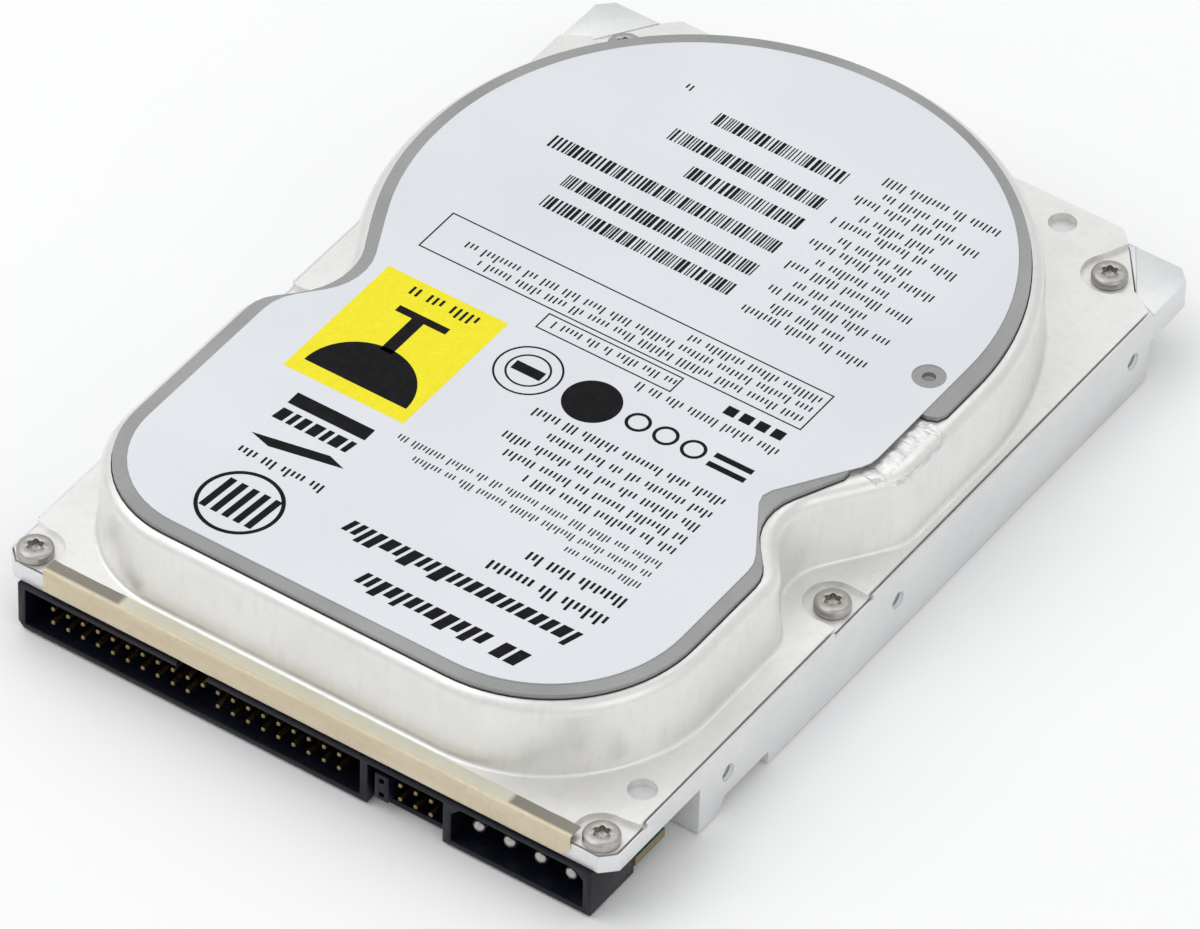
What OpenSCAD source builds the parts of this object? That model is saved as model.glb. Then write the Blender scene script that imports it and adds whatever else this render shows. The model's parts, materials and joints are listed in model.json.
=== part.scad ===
// Desktop hard disk drive, 3.5 inch size, parallel interface, two discs.
// Millimetres. +Z is up and +Y runs from the connector end to the spindle end.
// The origin is the middle of the underside. Inside the modules y is counted
// from the connector mouth; from_end() moves a finished piece into the frame.

/* [Case] */
// Width across the mounting rails
drive_w = 101.6; // [98:0.1:124]
// Length from the connector mouth to the back edge of the cover
drive_l = 147; // [143:0.5:180]
// Height from the rails to the label
drive_h = 26.1; // [25.6:0.1:32]
// Height of the casting's thin outer rim
rim_h = 12.3; // [12:0.1:12.6]
// Height of the flat seat that the cover lies on
seat_h = 11.5; // [11.3:0.1:11.7]
// Thickness of the casting's floor
floor_t = 1.2; // [1:0.1:1.4]
// Underside of the casting's floor above the rails
floor_z = 6.4; // [6.2:0.1:6.6]
// Width of one mounting rail
rail_w = 6.4; // [5:0.1:7]
// Underside of the shelf above the connectors
shelf_z = 8.5; // [8.4:0.05:8.8]
// Thickness of the shelf above the connectors
shelf_t = 1.4; // [1:0.1:1.6]
// Front face of the shelf behind the connector mouth
shelf_y = 0.5; // [0.4:0.1:1]
// Corner chamfer of the casting
corner_cut = 2.1; // [1:0.1:3]
// Where the rails start, from the connector mouth
rail_start = 21.7; // [20:0.1:24]
// Length of the foot in front of the raised notch
foot_l = 5; // [3:0.1:6]
// Length of the raised notch in each rail
notch_l = 11.8; // [8:0.1:14]
// Height of the raised notch
notch_h = 2.3; // [1:0.1:3]
// Length of the slope at the front of the notch
notch_slope = 1.2; // [0.5:0.1:3]
// Where the rails end, from the back of the cover
rail_end = 12.6; // [10:0.1:16]
// How far the cover reaches past the casting at the back
back_reach = 1.3; // [0.8:0.1:2]
// Underside of the two back corners
corner_z = 6.9; // [6:0.1:7.5]

/* [Mounting holes] */
// Radius of every threaded mounting hole, 6-32 UNC
mount_r = 1.4; // [1.2:0.05:1.5]
// Depth of the bottom mounting holes
mount_depth = 4; // [3:0.1:4.4]
// Depth of the side mounting holes
side_depth = 3.2; // [2.8:0.1:3.4]
// Height of the side holes
side_hole_z = 6.35; // [6:0.05:6.6]
// Connector mouth to the first side hole
side_hole_y = 28.5; // [28:0.1:30]
// First to middle side hole
side_pitch_a = 41.6; // [40:0.1:45]
// First to last side hole
side_pitch_b = 101.6; // [98:0.1:102]
// Connector mouth to the first bottom hole
bottom_hole_y = 41.28; // [41:0.01:44]
// First to second bottom hole
bottom_pitch = 44.45; // [40:0.01:50]
// Side face to the bottom holes
bottom_hole_in = 3.175; // [3:0.005:3.4]

/* [Cover] */
// Thickness of the cover's flange
flange_t = 1.1; // [0.8:0.1:1.3]
// Thickness of the drawn wall
wall_t = 0.65; // [0.5:0.05:0.8]
// Thickness of the drawn top
top_t = 0.8; // [0.6:0.1:1]
// Gap between the cover's edge and the rim
cover_gap = 0.2; // [0.1:0.05:0.3]
// Width of the rim
rim_t = 0.35; // [0.3:0.05:0.5]
// Radius of the shoulder round the raised top
shoulder_r = 2.1; // [1:0.1:2.4]
// Radius where the raised part meets the flange
fillet_r = 0.6; // [0.3:0.1:0.8]
// Lean of the drawn wall, bottom to shoulder
draft = 0.3; // [0.1:0.1:0.4]
// Half width of the raised part over the actuator
lobe_hw = 46.2; // [44:0.1:46.4]
// Front wall of the raised part, from the connector mouth
lobe_y = 3.6; // [3.5:0.1:5]
// Radius of a screw pad
pad_r = 4.2; // [3.8:0.1:4.4]
// Depth of a screw pad below the flange
pad_drop = 0.9; // [0.6:0.1:1]
// Width of the lip round a screw pad
pad_lip = 0.5; // [0.4:0.1:0.6]
// Radius of the two tool holes in the flange
tool_hole_r = 2.1; // [1.5:0.1:2.3]
// Depth of the tool holes below the seat of the cover
tool_hole_depth = 0.3; // [0.2:0.1:1]

/* [Cover screws] */
// Radius of a screw head
head_r = 2.65; // [2.3:0.05:2.9]
// Height of a screw head
head_t = 1.5; // [1.2:0.1:1.8]
// Radius of a screw shank
shank_r = 1.45; // [1.2:0.05:1.6]
// Length of a screw shank
shank_l = 3; // [2.6:0.1:3.1]

/* [Plate and label] */
// Thickness of the damping plate
plate_t = 0.8; // [0.5:0.1:1]
// Step from the plate's edge to the drawn wall
plate_in = 2.2; // [2:0.1:3]
// Thickness of the label
label_t = 0.15; // [0.1:0.05:0.2]
// Step from the label's edge to the plate's edge
label_in = 2.1; // [1.5:0.1:2.5]
// Radius of the window in the label over the breather
window_r = 2.45; // [2:0.05:3]
// Radius of the breather hole
breather_r = 1; // [0.6:0.1:1.2]
// Thickness of the sealing tapes
tape_t = 0.15; // [0.1:0.05:0.15]
// Width of the front tape on top of the flange
tape_top = 2.1; // [1.5:0.1:2.2]

/* [Connectors] */
// Height of the connector block
conn_h = 8.2; // [8:0.1:8.3]
// Depth of the connector block
conn_d = 10.4; // [9:0.1:11]
// Wall of the connector shrouds
shroud_t = 1; // [0.8:0.1:1.2]
// Thickness of the wall that holds the pins
conn_back_t = 2.4; // [2:0.1:3]
// Height of the middle of all the pins
pin_z = 4.4; // [4.3:0.05:4.5]
// Pitch of the data and setting pins
pin_pitch = 2.54; // [2.54]
// Width of a square pin
pin_w = 0.64; // [0.5:0.02:0.7]
// Pins in one row of the data connector
data_cols = 20; // [16:1:20]
// Pitch of the power pins
power_pitch = 5.08; // [5.08]
// Radius of a power pin
power_r = 1.05; // [0.9:0.05:1.1]
// Width of the jumper cap
shunt_w = 2.3; // [2:0.05:2.4]
// Height of the jumper cap
shunt_h = 4.7; // [4.6:0.05:5]
// Length of the jumper cap
shunt_l = 6.2; // [5:0.1:6.6]

/* [Board] */
// Underside of the circuit board
board_z = 1.3; // [1.2:0.05:1.3]
// Thickness of the circuit board
board_t = 1.5; // [1.2:0.1:1.5]
// Thickness of a chip
chip_t = 1.1; // [0.8:0.05:1.15]

/* [Discs and motor] */
// Diameter of a disc
disc_d = 95; // [84:1:95]
// Thickness of a disc
disc_t = 0.8; // [0.6:0.1:1]
// Diameter of the hole in a disc
disc_bore = 25; // [24:0.5:25]
// Gap between the discs' edges and the wall round them
shroud_gap = 0.35; // [0.3:0.05:0.6]
// Spindle axis from the back of the cover
spindle_back = 51.8; // [51:0.1:53]
// Spindle axis from the middle of the drive
spindle_x = 0.3; // [0:0.1:0.5]
// Underside of the lower disc
disc_z = 13.4; // [13.2:0.1:13.8]
// Radius of the spindle shaft
shaft_r = 2; // [1.5:0.1:2.5]
// Outer radius of the spindle bearings
bearing_r = 5; // [4.5:0.1:5.2]
// Outer radius of the disc clamp
clamp_r = 15; // [14.5:0.1:15.5]

/* [Actuator] */
// Pivot axis from the middle of the drive, to the left
pivot_x = 6; // [4:0.5:8]
// Spindle axis to the pivot, along the drive
pivot_back = 55.2; // [54.5:0.1:56]
// Pivot axis to the heads
arm_l = 48.5; // [48:0.1:49]
// Radius from the spindle at which the heads park
park_r = 19.5; // [19:0.1:21]
// Thickness of an arm
arm_t = 1.2; // [1:0.1:1.4]
// Thickness of a suspension
spring_t = 0.2; // [0.15:0.05:0.25]
// Thickness of a head slider
slider_t = 0.5; // [0.4:0.05:0.5]
// Gap between a slider and its disc
fly_gap = 0.1; // [0.1:0.05:0.2]
// Thickness of the voice coil
coil_t = 2.6; // [2:0.1:2.8]
// Gap above and below the voice coil
coil_gap = 0.5; // [0.4:0.05:0.6]
// Inner radius of the voice coil
coil_in_r = 14; // [13.5:0.1:15]
// Outer radius of the voice coil
coil_out_r = 26; // [24:0.1:27]
// Angle that the voice coil covers
coil_span = 44; // [38:1:46]
// Swing of the actuator from the parking place
swing = 26; // [20:1:27]
// Thickness of a magnet
magnet_t = 1.4; // [1.2:0.1:1.6]
// Thickness of a magnet plate
yoke_t = 2; // [1.8:0.1:2.2]

/* [Hidden] */
$fn = 64;

eps = 0.01;
half_w = drive_w / 2;
spindle_y = drive_l - spindle_back;
pivot_y = spindle_y - pivot_back;
floor_top = floor_z + floor_t;
shelf_top = shelf_z + shelf_t;
casting_back = drive_l - back_reach;
rail_back = drive_l - rail_end;
rail_x = half_w - rail_w;

// Heights of the cover, its plate and its label
cover_z = seat_h;
flange_top = cover_z + flange_t;
label_z = drive_h - label_t;
cover_top = label_z - plate_t;
cover_ceiling = cover_top - top_t;
pad_top = flange_top - pad_drop;
pad_bottom = cover_z - pad_drop;

// Flange edges and screws
flange_hw = half_w - rim_t - cover_gap;
flange_y = shelf_y + 0.3;
flange_back_hw = half_w - 12.8;
flange_back_cut = 2.7;
flange_front_cut = corner_cut - 0.3;
rim_front_y = 9;
corner_screw_in = 3.6;
corner_screw_y = 3.4;
back_screw_in = 9.2;
back_screw_y = 9.3;
waist_screw_right = 36.3;
waist_screw_left = 31.2;
screws = [
    [-half_w + corner_screw_in, corner_screw_y, -1, -1],
    [half_w - corner_screw_in, corner_screw_y, 1, -1],
    [half_w - corner_screw_in, spindle_y - waist_screw_right, 1, 0],
    [half_w - back_screw_in, drive_l - back_screw_y, 1, 1],
    [-half_w + back_screw_in, drive_l - back_screw_y, -1, 1],
    [-half_w + corner_screw_in, spindle_y - waist_screw_left, -1, 0]];
tool_holes = [[half_w - 4.1, 13.7], [half_w - 20.5, drive_l - 4.1]];

// Raised part of the cover: vertices [x, y, corner radius], counter-clockwise
cavity_r = disc_d / 2 + shroud_gap;
pod_r = cavity_r + wall_t;
pod_left = spindle_x - pod_r;
pod_right = spindle_x + pod_r;
pod_back = spindle_y + pod_r;
lobe_corner_left = 19;
lobe_corner_right = 26;
pod = [
    [-lobe_hw, lobe_y, lobe_corner_left],
    [lobe_hw, lobe_y, lobe_corner_right],
    [lobe_hw, spindle_y - 47.2, 6],
    [lobe_hw - 8.3, spindle_y - 36.9, 9],
    [pod_right, spindle_y - 21.4, 9],
    [pod_right, pod_back, pod_r - eps],
    [pod_left, pod_back, pod_r - eps],
    [pod_left, spindle_y - 12.4, pod_r - eps],
    [-lobe_hw + 9.2, spindle_y - 34.5, 9],
    [-lobe_hw, spindle_y - 43.9, 7]];
breather = [pod_right - 8.5, spindle_y - 3];

// Damping plate, cut back where the side port is
plate_hw = lobe_hw - plate_in;
plate_y = lobe_y + 1.8;
plate_r = pod_r - plate_in - 0.2;
plate_left = spindle_x - plate_r;
plate_right = spindle_x + plate_r;
plate_back = spindle_y + plate_r;
port_low = spindle_y - 25;
port_high = spindle_y - 9.8;
port_x = plate_right - 4;
port_in = 6;
port_w = 1.8;
port_edge = pod_right - shoulder_r - draft;
seal_low = port_low + 0.8;
seal_high = port_high - 0.4;
plate = [
    [-plate_hw, plate_y, 17],
    [plate_hw, plate_y, 24],
    [plate_hw, spindle_y - 49.1, 6],
    [plate_hw - 8.1, spindle_y - 39.4, 10],
    [port_x + 0.2, port_low, 1.4],
    [port_x - 2.6, port_low + 0.8, 0.8],
    [port_x, port_low + 5, 2],
    [port_x, port_high, 0.8],
    [plate_right, port_high, 2],
    [plate_right, plate_back, plate_r - eps],
    [plate_left, plate_back, plate_r - eps],
    [plate_left, spindle_y - 11.6, plate_r - eps],
    [-plate_hw + 9.5, spindle_y - 34.3, 11.8],
    [-plate_hw, spindle_y - 44.5, 6]];
label_hw = plate_hw - label_in;
label_y = plate_y + 2;
label_r = plate_r - label_in + 0.2;
label_left = spindle_x - label_r;
label_right = spindle_x + label_r - 0.8;
label_back = spindle_y + label_r;
label = [
    [-label_hw, label_y, 15],
    [label_hw, label_y, 22],
    [label_hw, spindle_y - 48.2, 6],
    [plate_hw - 9.4, spindle_y - 36.4, 3],
    [label_right, spindle_y - 22.4, 5],
    [label_right, label_back, label_r - 2],
    [label_left, label_back, label_r - eps],
    [label_left, spindle_y - 10.6, label_r - eps],
    [-label_hw + 8.6, spindle_y - 33, 9.6],
    [-label_hw, spindle_y - 43, 8]];

// Connector block
data_x = -half_w + 8.45;
conn_left = -half_w + 3;
conn_right = half_w - 2.8;
conn_z = 0.2;
conn_top = conn_z + conn_h;
row_gap = pin_pitch / 2;
data_right = data_x + (data_cols - 1) * pin_pitch;
data_cavity_left = conn_left + 1.3;
data_cavity_right = data_right + 4;
setting_x = data_right + 3 * pin_pitch;
setting_cols = 4;
setting_left = data_cavity_right + 1.3;
setting_right = setting_x + 3 * pin_pitch + 2.5;
setting_recess = 1.9;
power_left = setting_right + 1.4;
power_right = conn_right - 1.4;
power_cols = 4;
power_x = (power_left + power_right) / 2 - 1.5 * power_pitch;
pin_tip_y = 0.7;
power_tip_y = 1.5;
cavity_d = conn_d - conn_back_t;
key_col = 10;
key_slot_w = 5;
power_cut = 1.4;

// Board
board_top = board_z + board_t;
board_y = conn_d + 0.2;
board_ear_y = 17.7;
board_hw = rail_x - 0.4;
board_ear_hw = conn_right;
board_back = rail_back - 8;
board_motor_r = 18;
stand_offs = [
    [-board_hw + 5, rail_start + 8], [board_hw - 5, rail_start + 8],
    [-board_hw + 5, board_back - 6], [board_hw - 5, board_back - 6]];
stand_off_r = 3.4;
board_screw_head_t = 1;
board_screw_r = 1.2;
board_screw_l = 4.4;
chip_z = board_z - chip_t;

// Motor and discs
bracket_r = 15;
hub_r = disc_bore / 2 - 0.02;
hub_flange_r = 15;
hub_flange_t = 1.5;
hub_wall = 1.9;
run_gap = 0.02;
disc_gap = 2 * (fly_gap + slider_t + spring_t) + arm_t;
upper_disc_z = disc_z + disc_t + disc_gap;
stack_top = upper_disc_z + disc_t;
clamp_t = 1.8;
hub_top = stack_top + clamp_t - 0.3;
hub_bottom = floor_top + 0.9;
bracket_bottom = floor_z - 0.2;
bracket_top = floor_top - 0.3;
bearing_t = 2.6;
lower_bearing_z = bracket_top + 0.2;
upper_bearing_z = stack_top - 5;
sleeve_wall = 1;
sleeve_top = upper_bearing_z + bearing_t;
stator_z = floor_top + 2.2;
stator_t = 4;
stator_r = 8.7;
rotor_gap = 0.3;
stator_poles = 9;
clamp_hole_r = 10;
clamp_screw_count = 6;

// Actuator
pivot = [-pivot_x, pivot_y];
spindle = [spindle_x, spindle_y];
pivot_gap = norm(spindle - pivot);
spindle_angle = atan2(spindle_y - pivot_y, spindle_x + pivot_x);
park_angle = acos((pivot_gap ^ 2 + arm_l ^ 2 - park_r ^ 2) / (2 * pivot_gap * arm_l));
arm_angle = spindle_angle + park_angle;
mid_z = disc_z + disc_t + disc_gap / 2;
arm_mid_z = mid_z - arm_t / 2;
arm_low_z = disc_z - fly_gap - slider_t - spring_t - arm_t;
arm_high_z = stack_top + fly_gap + slider_t + spring_t;
arm_reach = 31;
block_r = 7.5;
block_z = arm_low_z - 0.6;
block_top = arm_high_z + arm_t + 0.4;
pivot_shaft_r = 2.5;
pivot_pin_r = 2;
pivot_bearing_r = 4.6;
pivot_sleeve_r = 5.6;
pivot_boss_r = 6;
pivot_boss_z = block_z - 0.6;
pivot_shaft_top = block_top + 0.8;
coil_z = mid_z - coil_t / 2;
coil_frame_w = 1.2;
coil_angle = arm_angle + 180;
yoke_mid = coil_angle + swing / 2;
yoke_half = 45;
yoke_out_r = coil_out_r + 6;
yoke_in_r = 13;
magnet_out_r = coil_out_r + 1;
magnet_in_r = coil_in_r - 0.5;
magnet_half = 32;
lower_magnet_z = coil_z - coil_gap - magnet_t;
lower_yoke_z = lower_magnet_z - yoke_t;
upper_magnet_z = coil_z + coil_t + coil_gap;
upper_yoke_z = upper_magnet_z + magnet_t;
post_r = 2;
post_angles = [yoke_mid - yoke_half + 5, yoke_mid + yoke_half - 5];
post_pin_r = post_r - 0.8;
post_place_r = yoke_out_r - 2.4;
// Each post stands on the shelf or, behind it, on the floor
post_feet = [for (a = post_angles)
    pivot_y + post_place_r * sin(a) + post_r < rail_start + shelf_t ? shelf_top : floor_top];
stop_r = 1.6;
stop_place_r = coil_out_r - 1;
stop_clear = coil_span / 2 + 7.4;
flex_t = 0.15;
flex_h = 5;
flex_z = mid_z - flex_h / 2;
flex_start_r = 12.5;
flex_end_x = 33;
flex_end_y = pivot_y + 2;
header_w = 6;
header_d = 14;

module from_end() {
    translate([0, -drive_l / 2, 0]) children();
}

module at_spindle() {
    from_end() translate([spindle_x, spindle_y, 0]) children();
}

module at_pivot() {
    from_end() translate([-pivot_x, pivot_y, 0]) children();
}

module upright(r, z, h) {
    translate([0, 0, z]) cylinder(r = r, h = h);
}

module ring(r_out, r_in, z, h) {
    difference() {
        upright(r_out, z, h);
        upright(r_in, z - 1, h + 2);
    }
}

module block(low, high) {
    translate(low) cube(high - low);
}

module mirrored() {
    children();
    mirror([1, 0, 0]) children();
}

// A closed outline from vertices with corner radii
seg_l = 1.9;
function unit(v) = v / norm(v);
function left_of(v) = [-v[1], v[0]];
function xy(v) = [v[0], v[1]];
function turn(a, b) = atan2(cross(a, b), a * b);
function before(list, i) = list[(i + len(list) - 1) % len(list)];
function after(list, i) = list[(i + 1) % len(list)];
function corner_arc(corner, a, b, r, steps) =
    let (bend = turn(a, b),
         side = sign(bend),
         start = corner - a * r * tan(abs(bend) / 2),
         centre = start + left_of(a) * r * side,
         spoke = start - centre)
    [for (k = [0 : steps])
        let (t = bend * k / steps)
        centre + [spoke[0] * cos(t) - spoke[1] * sin(t), spoke[0] * sin(t) + spoke[1] * cos(t)]];
function outline(shape, inset = 0) =
    [for (i = [0 : len(shape) - 1])
        let (a = unit(xy(shape[i]) - xy(before(shape, i))),
             b = unit(xy(after(shape, i)) - xy(shape[i])),
             bend = turn(a, b),
             r = shape[i][2],
             steps = max(2, ceil(abs(bend) * PI / 180 * r / seg_l)),
             corner = xy(shape[i]) + (left_of(a) + left_of(b)) * inset / (1 + a * b),
             inset_r = max(0.05, r - sign(bend) * inset))
        each corner_arc(corner, a, b, inset_r, steps)];

module prism(points, z, h) {
    translate([0, 0, z]) linear_extrude(h) polygon(points);
}

// A place from which all of the raised part's outline is in plain sight
cap_centre = [0, pivot_y + 16];

// A solid whose rings follow one outline round cap_centre; levels are [inset, z]
module loft(shape, levels) {
    rings = [for (level = levels) outline(shape, level[0])];
    n = len(rings[0]);
    last = len(levels) - 1;
    points = concat([for (i = [0 : last]) for (p = rings[i]) [p[0], p[1], levels[i][1]]],
        [for (i = [0, last]) [cap_centre[0], cap_centre[1], levels[i][1]]]);
    bottom = len(points) - 2;
    top = len(points) - 1;
    sides = [for (i = [0 : last - 1]) for (k = [0 : n - 1])
        let (m = (k + 1) % n)
        [i * n + k, (i + 1) * n + k, (i + 1) * n + m, i * n + m]];
    caps = [for (k = [0 : n - 1]) let (m = (k + 1) % n) each
        [[k, m, bottom], [last * n + m, last * n + k, top]]];
    polyhedron(points, concat(sides, caps), convexity = 6);
}

// Plan outline of the casting
function casting_plan(inset) =
    let (w = half_w - inset, y0 = shelf_y + inset, y1 = casting_back - inset, c = corner_cut)
    [[-w + c, y0], [w - c, y0], [w, y0 + c], [w, y1 - c],
     [w - c, y1], [-w + c, y1], [-w, y1 - c], [-w, y0 + c]];

// Vertices of the cover's flange, with corner radii, counter-clockwise
flange_corner = [half_w - 4.2, rail_back + 2.2];
flange_right = [
    [flange_hw - flange_front_cut, flange_y], [flange_hw, flange_y + flange_front_cut],
    [flange_hw, rail_back], flange_corner,
    [flange_back_hw + flange_back_cut, drive_l - flange_back_cut], [flange_back_hw, drive_l]];
flange = concat(
    [for (p = flange_right) [p[0], p[1], 0.3]],
    [for (k = [len(flange_right) - 1 : -1 : 0]) [-flange_right[k][0], flange_right[k][1], 0.3]]);

// Outline of a screw pad's open side, beside a screw at the origin; end is -1
// for the connector end, 0 for the middle and 1 for the back
function pad_mouth(end, r, reach = 12) =
    end == -1 ? [[-r, 0], [-r, -reach], [reach, -reach], [reach, r + 2.2], [0, r]] :
    end == 0 ? [[0, -r], [reach, -r], [reach, r], [0, r]] :
    [polar(r, -50), polar(r, -50) + polar(reach, 40), polar(r, 156) + polar(reach, 66), polar(r, 156)];

// A screw pad: round at the screw, open towards the side or the corner
pad_shave = 0.15;
module pad(screw, grow, z, h) {
    translate([screw[0], screw[1], 0]) mirror([screw[2] < 0 ? 1 : 0, 0, 0]) {
        upright(pad_r + grow, z, h);
        prism(pad_mouth(screw[3], pad_r + grow - pad_shave), z, h);
    }
}

// One rail with its foot, notch and step
module rail() {
    foot_y = rail_start + foot_l;
    notch_y = foot_y + notch_l;
    difference() {
        block([rail_x, rail_start, 0], [half_w, rail_back, seat_h]);
        prism_x([[foot_y, -1], [foot_y, 0], [foot_y + notch_slope, notch_h],
            [notch_y, notch_h], [notch_y, -1]], rail_x - 1, rail_w + 2);
    }
}

// Thin rim outside the cover, broken beside the screw pads
module rim(side, screw) {
    for (span = [[rim_front_y, screw[1] - pad_r - pad_lip], [screw[1] + pad_r + pad_lip, rail_back]])
        block([side > 0 ? half_w - rim_t : -half_w, span[0], seat_h - 1],
            [side > 0 ? half_w : -half_w + rim_t, span[1], rim_h]);
}

// Raised corner of the casting, level with the screw pads
module corner_land() {
    edge = [flange_back_hw + flange_back_cut + cover_gap, casting_back];
    prism([[half_w, rail_back + 0.6], [half_w, casting_back - corner_cut], [half_w - corner_cut, casting_back],
        edge, flange_corner + [cover_gap, cover_gap]], pad_bottom - 1, flange_t + 1);
}

module side_holes() {
    for (side = [-1, 1], y = [0, side_pitch_a, side_pitch_b])
        translate([side * half_w, side_hole_y + y, side_hole_z])
            rotate([0, -side * 90, 0]) translate([0, 0, -1]) cylinder(r = mount_r, h = side_depth + 1);
}

module bottom_holes() {
    for (side = [-1, 1], y = [0, bottom_pitch])
        translate([side * (half_w - bottom_hole_in), bottom_hole_y + y, -1])
            cylinder(r = mount_r, h = mount_depth + 1);
}

module base_casting() {
    color([0.80, 0.80, 0.78]) from_end() {
        difference() {
            union() {
                prism(casting_plan(0), floor_z, seat_h - floor_z);
                rim(1, screws[2]);
                rim(-1, screws[5]);
                mirrored() rail();
                for (p = stand_offs) translate([p[0], p[1], 0])
                    upright(stand_off_r, board_top, floor_z - board_top + 1);
            }
            // Bay for the connectors, and the two raised back corners
            block([-half_w - 1, -1, -1], [half_w + 1, rail_start, shelf_z]);
            mirrored() block([rail_x - 4, rail_back, -1], [half_w + 1, drive_l, corner_z]);
            // Sealed chamber: deep behind the shelf, shallow above it
            intersection() {
                prism(outline(pod, wall_t), floor_top, rim_h);
                block([-half_w, rail_start + shelf_t, floor_top], [half_w, drive_l, rim_h]);
            }
            prism(outline(pod, wall_t), shelf_top, rim_h);
            gasket_ring();
            // Pockets and threads under the screw pads
            intersection() {
                for (s = screws) pad(s, pad_lip + 0.1, pad_bottom, rim_h);
                prism(outline(flange, -cover_gap), pad_bottom, rim_h);
            }
            for (s = screws) translate([s[0], s[1], 0]) upright(shank_r, pad_bottom - shank_l, shank_l + 2);
            side_holes();
            bottom_holes();
            for (p = stand_offs) translate([p[0], p[1], 0])
                upright(board_screw_r, board_top - 1, board_screw_l + 1);
            translate([spindle_x, spindle_y, 0]) upright(bracket_r, 0, rim_h);
            translate([flex_end_x, flex_end_y, 0]) header_slot(0);
            translate([-pivot_x, pivot_y, 0]) upright(pivot_pin_r, floor_z - 1, rim_h);
            for (t = tool_holes) translate([t[0], t[1], 0]) upright(tool_hole_r, seat_h - tool_hole_depth, 2);
        }
        mirrored() corner_land();
        translate([-pivot_x, pivot_y, 0])
            ring(pivot_boss_r, pivot_pin_r, floor_top - eps, pivot_boss_z - floor_top + eps);
        translate([-pivot_x, pivot_y, 0]) for (i = [0, 1])
            rotate(post_angles[i]) translate([post_place_r, 0, 0])
                ring(post_r + 1.2, post_pin_r, post_feet[i] - eps, lower_yoke_z - post_feet[i] + eps);
    }
}

module header_slot(grow) {
    block([-header_w / 2 - grow, -header_d / 2 - grow, board_top],
        [header_w / 2 + grow, header_d / 2 + grow, floor_top + 1]);
}

gasket_in = 0.55;
gasket_w = 1;
gasket_t = 0.8;
module gasket_ring() {
    difference() {
        prism(outline(pod, wall_t - gasket_in - gasket_w), seat_h - gasket_t, gasket_t);
        prism(outline(pod, wall_t - gasket_in), seat_h - gasket_t - 1, gasket_t + 2);
    }
}

module cover_gasket() {
    color([0.16, 0.16, 0.17]) from_end() gasket_ring();
}

// Levels [inset, z] round the shoulder of the raised top, grown by t
turn_steps = 5;
function shoulder(t) = [for (k = [0 : turn_steps]) let (a = 90 * k / turn_steps)
    [draft + shoulder_r - (shoulder_r + t) * cos(a), cover_top - shoulder_r + (shoulder_r + t) * sin(a)]];

module cover_shell() {
    fillet = [for (k = [0 : turn_steps]) let (a = 90 * k / turn_steps)
        [-fillet_r + fillet_r * sin(a), flange_top + fillet_r - fillet_r * cos(a)]];
    inner_r = shoulder_r - wall_t;
    ceiling = [for (k = [turn_steps : -1 : 0]) let (a = 90 * k / turn_steps)
        [wall_t + draft + inner_r - inner_r * cos(a), cover_ceiling - inner_r + inner_r * sin(a)]];
    loft(pod, concat(ceiling, [[wall_t, flange_top], [wall_t, cover_z + 0.2],
        [-fillet_r, cover_z + 0.2]], fillet, shoulder(0)));
}

module top_cover() {
    color([0.86, 0.86, 0.85]) from_end() union() {
        difference() {
            cover_shell();
            translate([breather[0], breather[1], 0]) upright(breather_r, cover_ceiling - 1, 4);
            block([port_edge - port_w, seal_low + 1.5, cover_ceiling - 1], [port_edge, seal_high - 1.5, cover_top + 1]);
        }
        difference() {
            union() {
                difference() {
                    prism(outline(flange), cover_z, flange_t);
                    for (s = screws) pad(s, 0, cover_z - 1, flange_t + 2);
                }
                intersection() {
                    prism(outline(flange), pad_bottom, flange_top - pad_bottom);
                    for (s = screws) difference() {
                        pad(s, pad_lip, pad_bottom, flange_top - pad_bottom);
                        pad(s, 0, pad_top, flange_t + 1);
                    }
                }
            }
            prism(outline(pod, wall_t / 2), pad_bottom - 1, 4);
            for (s = screws) translate([s[0], s[1], 0]) upright(shank_r + 0.1, pad_bottom - 1, 4);
            for (t = tool_holes) translate([t[0], t[1], 0]) upright(tool_hole_r, pad_bottom - 1, 4);
        }
    }
}

module cover_screws() {
    color([0.55, 0.54, 0.52]) from_end() for (s = screws) translate([s[0], s[1], 0]) difference() {
        union() {
            upright(head_r, pad_top, head_t);
            upright(shank_r, pad_top - shank_l, shank_l);
        }
        for (a = [0, 60, 120]) rotate(a)
            block([-1.25, -0.4, pad_top + head_t - 0.9], [1.25, 0.4, pad_top + head_t + 1]);
    }
}

module damping_plate() {
    color([0.62, 0.62, 0.61]) from_end() difference() {
        prism(outline(plate), cover_top, plate_t);
        translate([breather[0], breather[1], 0]) upright(breather_r, cover_top - 1, plate_t + 2);
    }
}

module top_label() {
    color([0.87, 0.89, 0.91]) from_end() difference() {
        prism(outline(label), label_z, label_t);
        translate([breather[0], breather[1], 0]) upright(window_r, label_z - 1, 3);
    }
}

// Tape over the port, bent down over the shoulder of the cover
module side_port_seal() {
    path = concat([[port_in, cover_top]], [for (k = [turn_steps : -1 : 1]) shoulder(0)[k]],
        [for (k = [1 : turn_steps]) shoulder(tape_t)[k]], [[port_in, cover_top + tape_t]]);
    color([0.84, 0.84, 0.83]) from_end() intersection() {
        loft(pod, path);
        block([port_x + 0.5, seal_low, cover_top - shoulder_r], [half_w, seal_high, cover_top + 1]);
    }
}

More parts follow.
